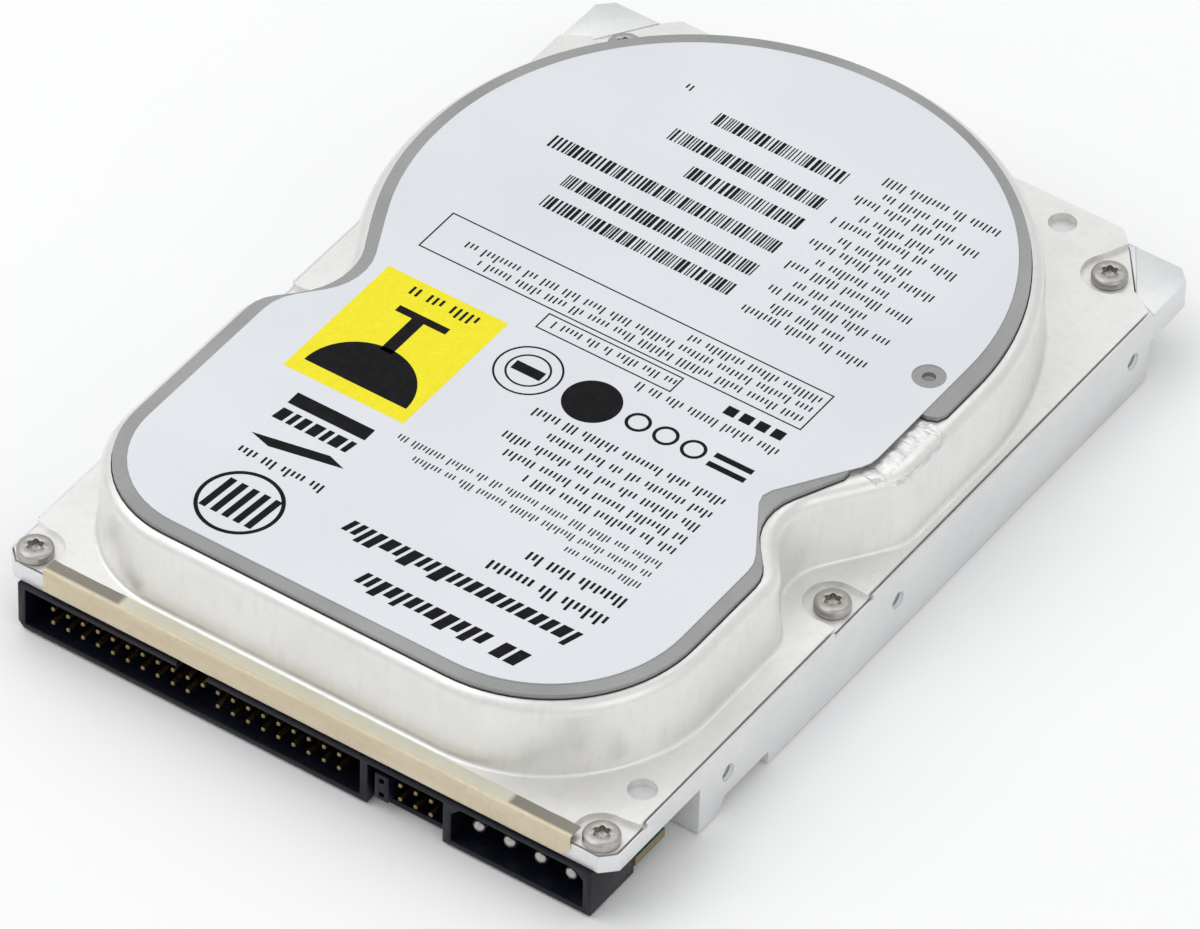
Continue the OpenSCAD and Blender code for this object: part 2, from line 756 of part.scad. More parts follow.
module front_seal_tape() {
    tape_left = -half_w + 7.2;
    tape_right = half_w - 6.6;
    color([0.80, 0.76, 0.64]) from_end() {
        block([tape_left, shelf_y - tape_t, shelf_z + 0.4], [tape_right, shelf_y, seat_h]);
        block([tape_left, flange_y - tape_t, seat_h], [tape_right, flange_y, flange_top + tape_t]);
        block([tape_left, shelf_y - tape_t, seat_h], [tape_right, flange_y, seat_h + tape_t]);
        block([tape_left, flange_y - tape_t, flange_top], [tape_right, flange_y + tape_top, flange_top + tape_t]);
    }
}

module circuit_board() {
    color([0.10, 0.32, 0.20]) from_end() difference() {
        union() {
            block([-board_hw, board_y, board_z], [board_hw, board_back, board_top]);
            block([-board_ear_hw, board_y, board_z], [board_ear_hw, board_ear_y, board_top]);
        }
        translate([spindle_x, spindle_y, 0]) upright(board_motor_r, 0, 5);
        for (p = stand_offs) translate([p[0], p[1], 0]) upright(board_screw_r + 0.2, 0, 5);
    }
}

module board_insulator() {
    foam_t = 1.2;
    foam_z = floor_z - foam_t;
    color([0.25, 0.25, 0.27]) from_end() difference() {
        block([-board_hw + 2, rail_start + 2, foam_z], [board_hw - 2, board_back - 5, floor_z]);
        translate([spindle_x, spindle_y, 0]) upright(board_motor_r, 0, 7);
        for (p = stand_offs) translate([p[0], p[1], 0]) upright(stand_off_r + 0.6, 0, 7);
        translate([flex_end_x, flex_end_y, 0]) header_slot(1);
        motor_contact_space(0.8);
    }
}

module board_screws() {
    color([0.70, 0.70, 0.70]) from_end() for (p = stand_offs) translate([p[0], p[1], 0]) difference() {
        union() {
            upright(2.4, board_z - board_screw_head_t, board_screw_head_t);
            upright(board_screw_r, board_z - 0.2, board_screw_l);
        }
        for (a = [0, 60, 120]) rotate(a) block([-1, -0.35, 0], [1, 0.35, board_z - 0.3]);
    }
}

// Pins of the data connector; the key pin of the lower row is missing
module data_pins() {
    color([0.85, 0.70, 0.35]) from_end() for (i = [0 : data_cols - 1], row = [-1, 1])
        if (!(i == key_col && row == -1)) bent_pin(data_x + i * pin_pitch, row);
}

module setting_pins() {
    color([0.85, 0.70, 0.35]) from_end() for (i = [0 : setting_cols - 1], row = [-1, 1])
        bent_pin(setting_x + i * pin_pitch, row);
}

module bent_pin(x, row) {
    z = pin_z + row * row_gap;
    back = conn_d + 2 + row * 0.9;
    half = pin_w / 2;
    block([x - half, pin_tip_y, z - half], [x + half, back, z + half]);
    block([x - half, back - pin_w, board_top], [x + half, back, z + half]);
}

module power_pins() {
    tail_w = 1.4;
    back = conn_d + 3.4;
    color([0.80, 0.80, 0.80]) from_end() for (i = [0 : power_cols - 1])
        translate([power_x + i * power_pitch, 0, 0]) {
            translate([0, power_tip_y, pin_z]) rotate([-90, 0, 0]) cylinder(r = power_r, h = cavity_d);
            block([-tail_w / 2, power_tip_y + 2, pin_z - tail_w / 2], [tail_w / 2, back, pin_z + tail_w / 2]);
            block([-tail_w / 2, back - tail_w, board_top], [tail_w / 2, back, pin_z]);
        }
}

module connector_housing() {
    left_cut = 1;
    color([0.07, 0.07, 0.09]) from_end() difference() {
        prism_y([[conn_left, conn_z + left_cut], [conn_left + left_cut, conn_z], [conn_right, conn_z],
            [conn_right, conn_top], [conn_left, conn_top]], 0, conn_d);
        block([data_cavity_left, -1, conn_z + shroud_t], [data_cavity_right, cavity_d, conn_top - 0.8]);
        block([data_x + 9.5 * pin_pitch - key_slot_w / 2, -1, conn_top - 1.5],
            [data_x + 9.5 * pin_pitch + key_slot_w / 2, cavity_d, conn_top + 1]);
        block([setting_left, -1, conn_z - 1], [setting_right, setting_recess, conn_top - 0.8]);
        block([setting_left, -1, conn_z + shroud_t], [setting_right, cavity_d, conn_top - 0.8]);
        prism_y([[power_left, conn_z + shroud_t], [power_right, conn_z + shroud_t],
            [power_right, conn_top - 0.8 - power_cut], [power_right - power_cut, conn_top - 0.8],
            [power_left + power_cut, conn_top - 0.8], [power_left, conn_top - 0.8 - power_cut]],
            -1, cavity_d + 1);
        for (i = [0 : data_cols - 1], row = [-1, 1])
            if (!(i == key_col && row == -1)) pin_hole(data_x + i * pin_pitch, pin_z + row * row_gap, pin_w);
        for (i = [0 : setting_cols - 1], row = [-1, 1])
            pin_hole(setting_x + i * pin_pitch, pin_z + row * row_gap, pin_w);
        for (i = [0 : power_cols - 1]) {
            translate([power_x + i * power_pitch, power_tip_y, pin_z])
                rotate([-90, 0, 0]) cylinder(r = power_r, h = cavity_d);
            pin_hole(power_x + i * power_pitch, pin_z, 1.4);
        }
    }
}

module pin_hole(x, z, w) {
    block([x - w / 2, cavity_d - 1, z - w / 2], [x + w / 2, conn_d + 1, z + w / 2]);
}

// An outline in Y and Z, extruded along +X
module prism_x(points, x, width) {
    translate([x, 0, 0]) rotate([90, 0, 90]) linear_extrude(width) polygon(points);
}

// An outline in X and Z, extruded along +Y
module prism_y(points, y, depth) {
    translate([0, y + depth, 0]) rotate([90, 0, 0]) linear_extrude(depth) polygon(points);
}

module jumper_cap() {
    clear = 0.1;
    front = 0.05;
    hole = pin_w / 2 + clear;
    color([0.05, 0.05, 0.06]) from_end() translate([setting_x, 0, pin_z]) difference() {
        block([-shunt_w / 2, front, -shunt_h / 2], [shunt_w / 2, front + shunt_l, shunt_h / 2]);
        for (row = [-1, 1]) translate([0, 0, row * row_gap])
            block([-hole, -1, -hole], [hole, front + shunt_l + 1, hole]);
    }
}

// A chip under the board with a row of leads on each long side
module chip(x, y, w, d, leads_x, leads_y) {
    lead = 0.3;
    leg = 0.9;
    from_end() translate([x, y, 0]) {
        block([-w / 2, -d / 2, chip_z], [w / 2, d / 2, board_z - 0.1]);
        for (i = [0 : 1 : leads_x - 1], side = [-1, 1]) let (p = (i - (leads_x - 1) / 2) * (w - 1.2) / leads_x)
            block([p - lead / 2, side > 0 ? d / 2 - eps : -d / 2 - leg, board_z - 0.35],
                [p + lead / 2, side > 0 ? d / 2 + leg : -d / 2 + eps, board_z]);
        for (i = [0 : 1 : leads_y - 1], side = [-1, 1]) let (p = (i - (leads_y - 1) / 2) * (d - 1.2) / leads_y)
            block([side > 0 ? w / 2 - eps : -w / 2 - leg, p - lead / 2, board_z - 0.35],
                [side > 0 ? w / 2 + leg : -w / 2 + eps, p + lead / 2, board_z]);
    }
}

module controller_chip() {
    color([0.10, 0.10, 0.11]) chip(-14, pivot_y - 2, 20, 20, 18, 18);
}

module motor_driver_chip() {
    color([0.10, 0.10, 0.11]) chip(-26, spindle_y - 28, 12, 12, 10, 10);
}

module buffer_chip() {
    color([0.10, 0.10, 0.11]) chip(16, pivot_y + 12, 8, 16, 0, 13);
}

module read_channel_chip() {
    color([0.10, 0.10, 0.11]) chip(20, pivot_y - 8, 10, 10, 9, 9);
}

module firmware_chip() {
    color([0.10, 0.10, 0.11]) chip(-32, pivot_y + 2, 8, 14, 0, 12);
}

module clock_crystal() {
    color([0.80, 0.80, 0.80]) from_end() translate([4, pivot_y - 15.5, 0]) {
        block([-3.6, -1.6, chip_z + 0.1], [3.6, 1.6, board_z]);
        for (side = [-1, 1]) translate([side * 3.6, 0, 0]) upright(1.6, chip_z + 0.1, chip_t - 0.1);
    }
}

module board_capacitors() {
    color([0.78, 0.64, 0.32]) from_end() for (p = [[33, rail_start + 0.3],
        [33, rail_start + 12.3], [24, rail_start - 0.7], [-38, pivot_y + 28], [-38, pivot_y + 36]])
        translate([p[0], p[1], 0]) block([-1.7, -1.4, chip_z], [1.7, 1.4, board_z]);
}

module board_resistors() {
    color([0.12, 0.12, 0.13]) from_end() for (i = [0 : 6], row = [0 : 1])
        translate([-30 + i * 2.6, 20.5 + row * 3, 0]) block([-0.6, -1, board_z - 0.5], [0.6, 1, board_z]);
}

module motor_contact_space(grow) {
    translate([spindle_x - 22, spindle_y, 0])
        block([-2 - grow, -5 - grow, board_top - grow], [2 + grow, 5 + grow, floor_z + grow]);
}

module motor_contacts() {
    color([0.90, 0.88, 0.80]) from_end() difference() {
        motor_contact_space(0);
        for (i = [-1 : 2]) translate([spindle_x - 22, spindle_y - 1.25 + i * 2.5, 0])
            block([-0.8, -0.6, floor_z - 0.8], [3, 0.6, floor_z + 1]);
    }
}

module head_header() {
    color([0.12, 0.12, 0.13]) from_end() translate([flex_end_x, flex_end_y, 0])
        block([-header_w / 2, -header_d / 2, board_top], [header_w / 2, header_d / 2, floor_top]);
}

// Motor: a fixed bracket and stator inside the turning hub
module spindle_bracket() {
    color([0.72, 0.72, 0.72]) at_spindle() difference() {
        union() {
            upright(bracket_r, bracket_bottom, bracket_top - bracket_bottom);
            upright(bearing_r + sleeve_wall, bracket_bottom, sleeve_top - bracket_bottom);
        }
        upright(bearing_r, lower_bearing_z, sleeve_top);
        upright(shaft_r + 0.6, bracket_bottom + 0.6, sleeve_top);
    }
}

module stator_core() {
    tooth = 0.45;
    yoke_r = bearing_r + sleeve_wall + 0.8;
    shoe_r = stator_r - 0.5;
    shoe_half = 15.5;
    root_half = asin(tooth / yoke_r);
    neck_half = asin(tooth / shoe_r);
    color([0.45, 0.45, 0.48]) at_spindle() difference() {
        prism([for (i = [0 : stator_poles - 1]) let (a = i * 360 / stator_poles)
            each [polar(yoke_r, a - root_half), polar(shoe_r, a - neck_half), polar(shoe_r, a - shoe_half),
                polar(stator_r, a - shoe_half), polar(stator_r, a), polar(stator_r, a + shoe_half),
                polar(shoe_r, a + shoe_half), polar(shoe_r, a + neck_half), polar(yoke_r, a + root_half)]],
            stator_z, stator_t);
        upright(bearing_r + sleeve_wall, stator_z - 1, stator_t + 2);
    }
}

module stator_coils() {
    color([0.72, 0.40, 0.16]) at_spindle() for (i = [0 : stator_poles - 1]) rotate(i * 360 / stator_poles)
        difference() {
            block([bearing_r + sleeve_wall + 0.9, -0.95, stator_z - 0.5],
                [stator_r - 0.6, 0.95, stator_z + stator_t + 0.5]);
            block([bearing_r, -0.45, stator_z], [stator_r, 0.45, stator_z + stator_t]);
        }
}

module lower_spindle_bearing() {
    color([0.75, 0.75, 0.77]) at_spindle() ring(bearing_r, shaft_r + run_gap, lower_bearing_z, bearing_t);
}

module upper_spindle_bearing() {
    color([0.75, 0.75, 0.77]) at_spindle() ring(bearing_r, shaft_r + run_gap, upper_bearing_z, bearing_t);
}

module spindle_shaft() {
    color([0.80, 0.80, 0.82]) at_spindle() upright(shaft_r, bracket_bottom + 1.2, hub_top - bracket_bottom - 1.2);
}

module spindle_hub() {
    web_z = sleeve_top + 0.5;
    color([0.70, 0.71, 0.73]) at_spindle() difference() {
        union() {
            upright(hub_r, hub_bottom, hub_top - hub_bottom);
            upright(hub_flange_r, disc_z - hub_flange_t, hub_flange_t);
        }
        upright(hub_r - hub_wall, hub_bottom - 1, web_z - hub_bottom + 1);
        upright(shaft_r, web_z - 1, hub_top);
        for (i = [0 : clamp_screw_count - 1]) rotate(i * 360 / clamp_screw_count)
            translate([clamp_hole_r - 2.2, 0, 0]) upright(0.8, hub_top - 1.2, 2);
    }
}

module rotor_magnet() {
    inner = stator_r + rotor_gap;
    color([0.22, 0.22, 0.24]) at_spindle() ring(hub_r - hub_wall, inner, stator_z - 0.8, stator_t + 1.6);
}

module disc(z) {
    color([0.72, 0.73, 0.75]) at_spindle() ring(disc_d / 2, disc_bore / 2, z, disc_t);
}

module lower_disc() disc(disc_z);

module upper_disc() disc(upper_disc_z);

module disc_spacer() {
    color([0.66, 0.67, 0.69]) at_spindle() ring(hub_flange_r, disc_bore / 2, disc_z + disc_t, disc_gap);
}

module disc_clamp() {
    color([0.75, 0.75, 0.76]) at_spindle() difference() {
        union() {
            ring(clamp_r, hub_r + 0.1, stack_top, clamp_t - 0.3);
            ring(clamp_r, shaft_r + 1.5, hub_top, 0.8);
        }
        for (i = [0 : clamp_screw_count - 1]) rotate(i * 360 / clamp_screw_count)
            translate([clamp_hole_r - 2.2, 0, 0]) upright(0.9, stack_top, 5);
    }
}

module clamp_screws() {
    color([0.35, 0.35, 0.37]) at_spindle() for (i = [0 : clamp_screw_count - 1])
        rotate(i * 360 / clamp_screw_count) translate([clamp_hole_r - 2.2, 0, 0]) {
            upright(1.5, hub_top + 0.8, 0.9);
            upright(0.8, hub_top - 1, 1.9);
        }
}

// Actuator: bearings, sleeve, arms and coil turn round a fixed shaft
module pivot_shaft() {
    color([0.80, 0.80, 0.82]) at_pivot() {
        upright(pivot_shaft_r, pivot_boss_z, pivot_shaft_top - pivot_boss_z);
        upright(pivot_pin_r, floor_z, pivot_boss_z - floor_z + 1);
    }
}

module pivot_bearings() {
    color([0.75, 0.75, 0.77]) at_pivot() for (z = [block_z, block_top - bearing_t])
        ring(pivot_bearing_r, pivot_shaft_r + run_gap, z, bearing_t);
}

module pivot_sleeve() {
    color([0.68, 0.68, 0.70]) at_pivot() difference() {
        ring(pivot_sleeve_r, pivot_bearing_r - 0.8, block_z, block_top - block_z);
        upright(pivot_bearing_r, block_z - 1, bearing_t + 1);
        upright(pivot_bearing_r, block_top - bearing_t, bearing_t + 1);
    }
}

function polar(r, a) = [r * cos(a), r * sin(a)];
function arc_points(r, from, to, steps) =
    [for (k = [0 : steps]) polar(r, from + (to - from) * k / steps)];
function sector(r_in, r_out, from, to) =
    concat(arc_points(r_out, from, to, 16), arc_points(r_in, to, from, 16));

module arm_block() {
    arm_root = 6;
    arm_tip = 2.6;
    window = 2.4;
    color([0.74, 0.74, 0.76]) at_pivot() rotate(arm_angle) difference() {
        union() {
            upright(block_r, block_z, block_top - block_z);
            for (z = [arm_low_z, arm_mid_z, arm_high_z])
                prism([[0, -arm_root], [arm_reach, -arm_tip], [arm_reach, arm_tip], [0, arm_root]], z, arm_t);
            prism([[-coil_in_r + 1.6, -5], [0, -6], [0, 6], [-coil_in_r + 1.6, 5]], coil_z, coil_t);
        }
        upright(pivot_sleeve_r, block_z - 1, 20);
        for (z = [arm_low_z, arm_mid_z, arm_high_z])
            prism([[block_r + 2, -window], [arm_reach - 6, -window / 2],
                [arm_reach - 6, window / 2], [block_r + 2, window]], z - 1, arm_t + 2);
    }
}

coil_half = coil_span / 2;
coil_wire_w = 3.6;
coil_wire_angle = 10;

module voice_coil() {
    color([0.74, 0.42, 0.18]) at_pivot() rotate(coil_angle) difference() {
        prism(sector(coil_in_r, coil_out_r, -coil_half, coil_half), coil_z, coil_t);
        prism(sector(coil_in_r + coil_wire_w, coil_out_r - coil_wire_w, -coil_half + coil_wire_angle,
            coil_half - coil_wire_angle), coil_z - 1, coil_t + 2);
    }
}

module coil_frame() {
    edge = 3;
    color([0.12, 0.12, 0.12]) at_pivot() rotate(coil_angle) difference() {
        prism(sector(coil_in_r - 1.6, coil_out_r + coil_frame_w, -coil_half - edge, coil_half + edge),
            coil_z, coil_t);
        prism(sector(coil_in_r, coil_out_r, -coil_half, coil_half), coil_z - 1, coil_t + 2);
        prism([[0, -6], [coil_in_r - 1.6, -5], [coil_in_r - 1.6, 5], [0, 6]], coil_z - 1, coil_t + 2);
    }
}

head_levels = [
    [disc_z - fly_gap, -1], [disc_z + disc_t + fly_gap, 1],
    [upper_disc_z - fly_gap, -1], [stack_top + fly_gap, 1]];

module head_suspensions() {
    root = 2.4;
    tip = 0.8;
    color([0.82, 0.82, 0.84]) at_pivot() rotate(arm_angle) for (h = head_levels)
        prism([[arm_reach - 5, -root], [arm_l + 1, -tip], [arm_l + 1, tip], [arm_reach - 5, root]],
            h[1] > 0 ? h[0] + slider_t : h[0] - slider_t - spring_t, spring_t);
}

module head_sliders() {
    color([0.25, 0.25, 0.28]) at_pivot() rotate(arm_angle) for (h = head_levels)
        block([arm_l - 1, -0.8, h[1] > 0 ? h[0] : h[0] - slider_t],
            [arm_l + 1, 0.8, h[1] > 0 ? h[0] + slider_t : h[0]]);
}

module arm_flex_tail() {
    reach = 2 * block_r;
    color([0.72, 0.45, 0.14]) at_pivot() rotate(arm_angle) intersection() {
        ring(block_r + flex_t, block_r, flex_z, flex_h);
        prism([[0, 0], polar(reach, -122), polar(reach, -91), polar(reach, -60)], flex_z, flex_h);
    }
}

module preamp_chip() {
    color([0.10, 0.10, 0.11]) at_pivot() rotate(arm_angle - 95)
        block([block_r + flex_t, -1.5, flex_z + 1], [block_r + flex_t + 0.9, 1.5, flex_z + flex_h - 1]);
}

// Flat cable: a loop from near the pivot to the bracket over the header
function path_left(path, d) =
    [for (i = [0 : len(path) - 1])
        let (a = path[max(0, i - 1)], b = path[min(len(path) - 1, i + 1)])
        path[i] + left_of(unit(b - a)) * d];

function reversed(list) = [for (i = [len(list) - 1 : -1 : 0]) list[i]];

module flex_cable() {
    loop_r = 4.5;
    x0 = flex_start_r - pivot_x;
    x1 = flex_end_x - header_w / 2 - 1;
    y0 = pivot_y + 2;
    path = concat(
        [[x0, y0 - 6], [x0 + 0.6, y0 - 3]],
        [for (k = [0 : 8]) [x0 + 2 + loop_r, y0] + polar(loop_r, 180 - 180 * k / 8)],
        [[x0 + 2.6 + 2 * loop_r, y0 - 3], [x0 + 5 + 2 * loop_r, y0 - 4.5], [x1, y0 - 4.5]]);
    color([0.78, 0.50, 0.16]) from_end()
        prism(concat(path_left(path, flex_t / 2), reversed(path_left(path, -flex_t / 2))), flex_z, flex_h);
}

module flex_bracket() {
    lip = 1;
    color([0.15, 0.15, 0.16]) from_end() translate([flex_end_x, flex_end_y, 0]) {
        block([-header_w / 2 - lip, -header_d / 2 - lip, floor_top],
            [header_w / 2 + lip, header_d / 2 + lip, floor_top + 1.6]);
        block([-header_w / 2 - lip, -8, floor_top], [-header_w / 2 + 0.4, 0, flex_z + flex_h]);
    }
}

module yoke_plate(z) {
    prism(sector(yoke_in_r, yoke_out_r, yoke_mid - yoke_half, yoke_mid + yoke_half), z, yoke_t);
}

module lower_magnet_plate() {
    color([0.72, 0.72, 0.72]) at_pivot() difference() {
        yoke_plate(lower_yoke_z);
        for (a = post_angles) rotate(a) translate([post_place_r, 0, 0]) upright(post_pin_r, lower_yoke_z - 1, 9);
    }
}

module upper_magnet_plate() {
    color([0.72, 0.72, 0.72]) at_pivot() yoke_plate(upper_yoke_z);
}

module magnet(z) {
    color([0.60, 0.60, 0.62]) at_pivot()
        prism(sector(magnet_in_r, magnet_out_r, yoke_mid - magnet_half, yoke_mid + magnet_half), z, magnet_t);
}

module lower_magnet() magnet(lower_magnet_z);

module upper_magnet() magnet(upper_magnet_z);

module yoke_posts() {
    color([0.66, 0.66, 0.68]) at_pivot() for (a = post_angles) rotate(a) translate([post_place_r, 0, 0]) {
        upright(post_r, lower_magnet_z, upper_yoke_z - lower_magnet_z);
        upright(post_pin_r, shelf_top + 0.1, lower_magnet_z - shelf_top);
    }
}

module crash_stops() {
    color([0.10, 0.10, 0.10]) at_pivot() for (a = [coil_angle - stop_clear, coil_angle + swing + stop_clear])
        rotate(a) translate([stop_place_r, 0, 0])
            upright(stop_r, lower_magnet_z, upper_yoke_z - lower_magnet_z);
}

module recirculation_filter() {
    color([0.92, 0.92, 0.90]) from_end() translate([-lobe_hw + 9.7, spindle_y - 45.2, 0])
        block([-2, -5, floor_top], [2, 5, cover_ceiling - 3]);
}

module breather_filter() {
    color([0.92, 0.92, 0.90]) from_end() translate([breather[0] - 1, breather[1], 0])
        upright(5.5, cover_ceiling - 2.2, 2.2);
}

base_casting();
cover_gasket();
top_cover();
cover_screws();
damping_plate();
top_label();
side_port_seal();
front_seal_tape();
circuit_board();
board_insulator();
board_screws();
connector_housing();
data_pins();
setting_pins();
power_pins();
jumper_cap();
controller_chip();
motor_driver_chip();
buffer_chip();
read_channel_chip();
firmware_chip();
clock_crystal();
board_capacitors();
board_resistors();
motor_contacts();
head_header();
spindle_bracket();
stator_core();
stator_coils();
lower_spindle_bearing();
upper_spindle_bearing();
spindle_shaft();
spindle_hub();
rotor_magnet();
lower_disc();
disc_spacer();
upper_disc();
disc_clamp();
clamp_screws();
pivot_shaft();
pivot_bearings();
pivot_sleeve();
arm_block();
voice_coil();
coil_frame();
head_suspensions();
head_sliders();
arm_flex_tail();
preamp_chip();
flex_cable();
flex_bracket();
lower_magnet_plate();
lower_magnet();
upper_magnet();
upper_magnet_plate();
yoke_posts();
crash_stops();
recirculation_filter();
breather_filter();
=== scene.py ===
"""Looks of a desktop hard disk drive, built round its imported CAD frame.

Metres, +Z up, connectors towards -Y.
"""

import json
import math
import random

import bmesh
import bpy
from mathutils import Matrix, Vector
from mathutils.bvhtree import BVHTree
from mathutils.noise import noise


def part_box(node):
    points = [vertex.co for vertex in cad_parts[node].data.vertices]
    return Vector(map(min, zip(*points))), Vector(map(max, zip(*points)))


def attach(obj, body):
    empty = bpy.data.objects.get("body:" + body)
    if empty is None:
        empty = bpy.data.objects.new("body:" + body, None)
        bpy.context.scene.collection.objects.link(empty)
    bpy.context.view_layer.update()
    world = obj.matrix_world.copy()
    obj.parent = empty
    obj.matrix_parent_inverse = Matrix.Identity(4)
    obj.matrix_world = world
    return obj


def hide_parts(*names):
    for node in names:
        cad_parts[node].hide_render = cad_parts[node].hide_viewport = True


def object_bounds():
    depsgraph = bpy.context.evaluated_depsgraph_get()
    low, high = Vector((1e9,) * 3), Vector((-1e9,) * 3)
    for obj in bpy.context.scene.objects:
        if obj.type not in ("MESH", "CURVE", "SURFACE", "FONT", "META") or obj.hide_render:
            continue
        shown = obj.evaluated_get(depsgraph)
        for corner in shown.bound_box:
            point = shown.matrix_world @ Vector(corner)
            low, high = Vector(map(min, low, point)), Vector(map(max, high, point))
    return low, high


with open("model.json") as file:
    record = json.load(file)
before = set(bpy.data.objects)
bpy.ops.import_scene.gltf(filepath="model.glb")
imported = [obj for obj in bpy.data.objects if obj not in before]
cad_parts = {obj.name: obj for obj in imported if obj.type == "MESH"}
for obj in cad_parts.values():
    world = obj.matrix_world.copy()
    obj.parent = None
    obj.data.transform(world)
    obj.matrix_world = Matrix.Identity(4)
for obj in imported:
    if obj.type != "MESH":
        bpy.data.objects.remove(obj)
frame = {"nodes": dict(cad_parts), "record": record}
CAD_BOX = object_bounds()
MM = 0.001
WELD = 2e-6                            # vertices nearer than this are one
SHARP_EDGE = math.radians(35.0)
NODES = frame["nodes"]

# Places taken from the frame
MOUTH_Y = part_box("connector_housing")[0][1]
LABEL_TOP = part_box("top_label")[1][2]
PLATEAU_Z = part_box("damping_plate")[0][2]


def box_centre(node):
    low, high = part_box(node)
    return (Vector(low) + Vector(high)) / 2


HUB = box_centre("lower_disc")


# ---------------------------------------------------------------- materials

class Shader:
    """A Principled material with helpers for the few node patterns used here."""

    def __init__(self, name, color, rough=0.5, metal=0.0, **extra):
        self.mat = bpy.data.materials.new(name)
        self.mat.use_nodes = True
        self.tree = self.mat.node_tree
        self.bsdf = self.tree.nodes["Principled BSDF"]
        self.set("Base Color", (*color, 1.0))
        self.set("Roughness", rough)
        self.set("Metallic", metal)
        for socket, value in extra.items():
            self.set(socket.replace("_", " "), value)
        self.color = color
        self.height = None

    def set(self, socket, value):
        self.bsdf.inputs[socket].default_value = value

    def node(self, kind, inputs=(), **props):
        n = self.tree.nodes.new(kind)
        for key, value in props.items():
            setattr(n, key, value)
        for key, value in dict(inputs).items():
            if isinstance(value, bpy.types.NodeSocket):
                self.tree.links.new(value, n.inputs[key])
            else:
                n.inputs[key].default_value = value
        return n

    def coords(self, stretch=(1, 1, 1), turn=0.0):
        """Object coordinates in millimetres, stretched per axis."""
        place = self.node("ShaderNodeTexCoord").outputs["Object"]
        return self.node("ShaderNodeMapping", {
            "Vector": place, "Rotation": (0, 0, turn), "Scale": tuple(1000 * s for s in stretch)}).outputs[0]

    def noise(self, scale, detail=4.0, stretch=(1, 1, 1), turn=0.0, rough=0.55):
        """A noise with features of about 1 / scale millimetres."""
        return self.node("ShaderNodeTexNoise", {
            "Vector": self.coords(stretch, turn), "Scale": scale, "Detail": detail,
            "Roughness": rough}).outputs["Fac"]

    def axis(self, name):
        """One object coordinate in millimetres, with y counted from the connector mouth."""
        place = self.node("ShaderNodeSeparateXYZ", {0: self.coords()}).outputs[name]
        if name != "Y":
            return place
        return self.node("ShaderNodeMath", {0: place, 1: MOUTH_Y / MM}, operation="SUBTRACT").outputs[0]

    def facing_up(self):
        """1 where the surface faces up or down, 0 on its upright sides."""
        normal = self.node("ShaderNodeNewGeometry").outputs["Normal"]
        upright = self.node("ShaderNodeSeparateXYZ", {0: normal}).outputs["Z"]
        return self.node("ShaderNodeMath", {0: upright}, operation="ABSOLUTE").outputs[0]

    def product(self, a, b):
        return self.node("ShaderNodeMath", {0: a, 1: b}, operation="MULTIPLY").outputs[0]

    def cells(self, scale):
        """Distance to the nearest of many scattered points, for specks."""
        return self.node("ShaderNodeTexVoronoi", {
            "Vector": self.coords(), "Scale": scale}, feature="F1").outputs["Distance"]

    def ramp(self, fac, low, high, start=0.3, end=0.7):
        """Maps fac from start..end to low..high."""
        return self.node("ShaderNodeMapRange", {
            0: fac, 1: start, 2: end, 3: low, 4: high}).outputs[0]

    def mix(self, fac, a, b):
        n = self.node("ShaderNodeMix", {"Factor": fac}, data_type="RGBA")
        for socket, value in ((n.inputs[6], a), (n.inputs[7], b)):
            if isinstance(value, bpy.types.NodeSocket):
                self.tree.links.new(value, socket)
            else:
                socket.default_value = (*value, 1.0)
        return n.outputs[2]

    def tint(self, fac, other, start=0.3, end=0.7, share=1.0):
        """Mixes the present base colour towards another one by fac."""
        socket = self.bsdf.inputs["Base Color"]
        now = socket.links[0].from_socket if socket.links else self.color
        self.tree.links.new(self.mix(self.ramp(fac, 0, share, start, end), now, other), socket)
        return self

    def roughen(self, fac, low, high, start=0.3, end=0.7):
        self.tree.links.new(self.ramp(fac, low, high, start, end), self.bsdf.inputs["Roughness"])
        return self

    def bump(self, fac, height_mm, strength=1.0):
        """Adds a bump of the given height to any bump already there."""
        n = self.node("ShaderNodeBump", {
            "Height": fac, "Distance": height_mm * MM, "Strength": strength})
        if self.height:
            self.tree.links.new(self.height, n.inputs["Normal"])
        self.height = n.outputs[0]
        self.tree.links.new(self.height, self.bsdf.inputs["Normal"])
        return self


def rolled(name, color, other, rough, metal, along="x", bump=0.004):
    """Rolled or brushed sheet with faint lines along one axis."""
    stretch = (0.05, 1, 1) if along == "x" else (1, 0.05, 1)
    s = Shader(name, color, rough, metal)
    lines = s.noise(5.0, 5, stretch)
    s.tint(s.noise(0.12), other)
    s.tint(lines, tuple(0.86 * c for c in color), 0.45, 0.8, 0.5)
    s.roughen(s.noise(2.0, 4, stretch), rough - 0.05, rough + 0.09)
    return s.bump(lines, bump)


def worn_metal(name, color, rough):
    """Turned steel or plated metal with faint specks."""
    s = Shader(name, color, rough, 1.0)
    s.tint(s.noise(0.8), tuple(0.8 * c for c in color))
    s.tint(s.cells(1.6), tuple(0.62 * c for c in color), 0.12, 0.02, 0.5)
    s.roughen(s.noise(3.0), rough - 0.06, rough + 0.12)
    return s.bump(s.noise(9.0, 5), 0.004)


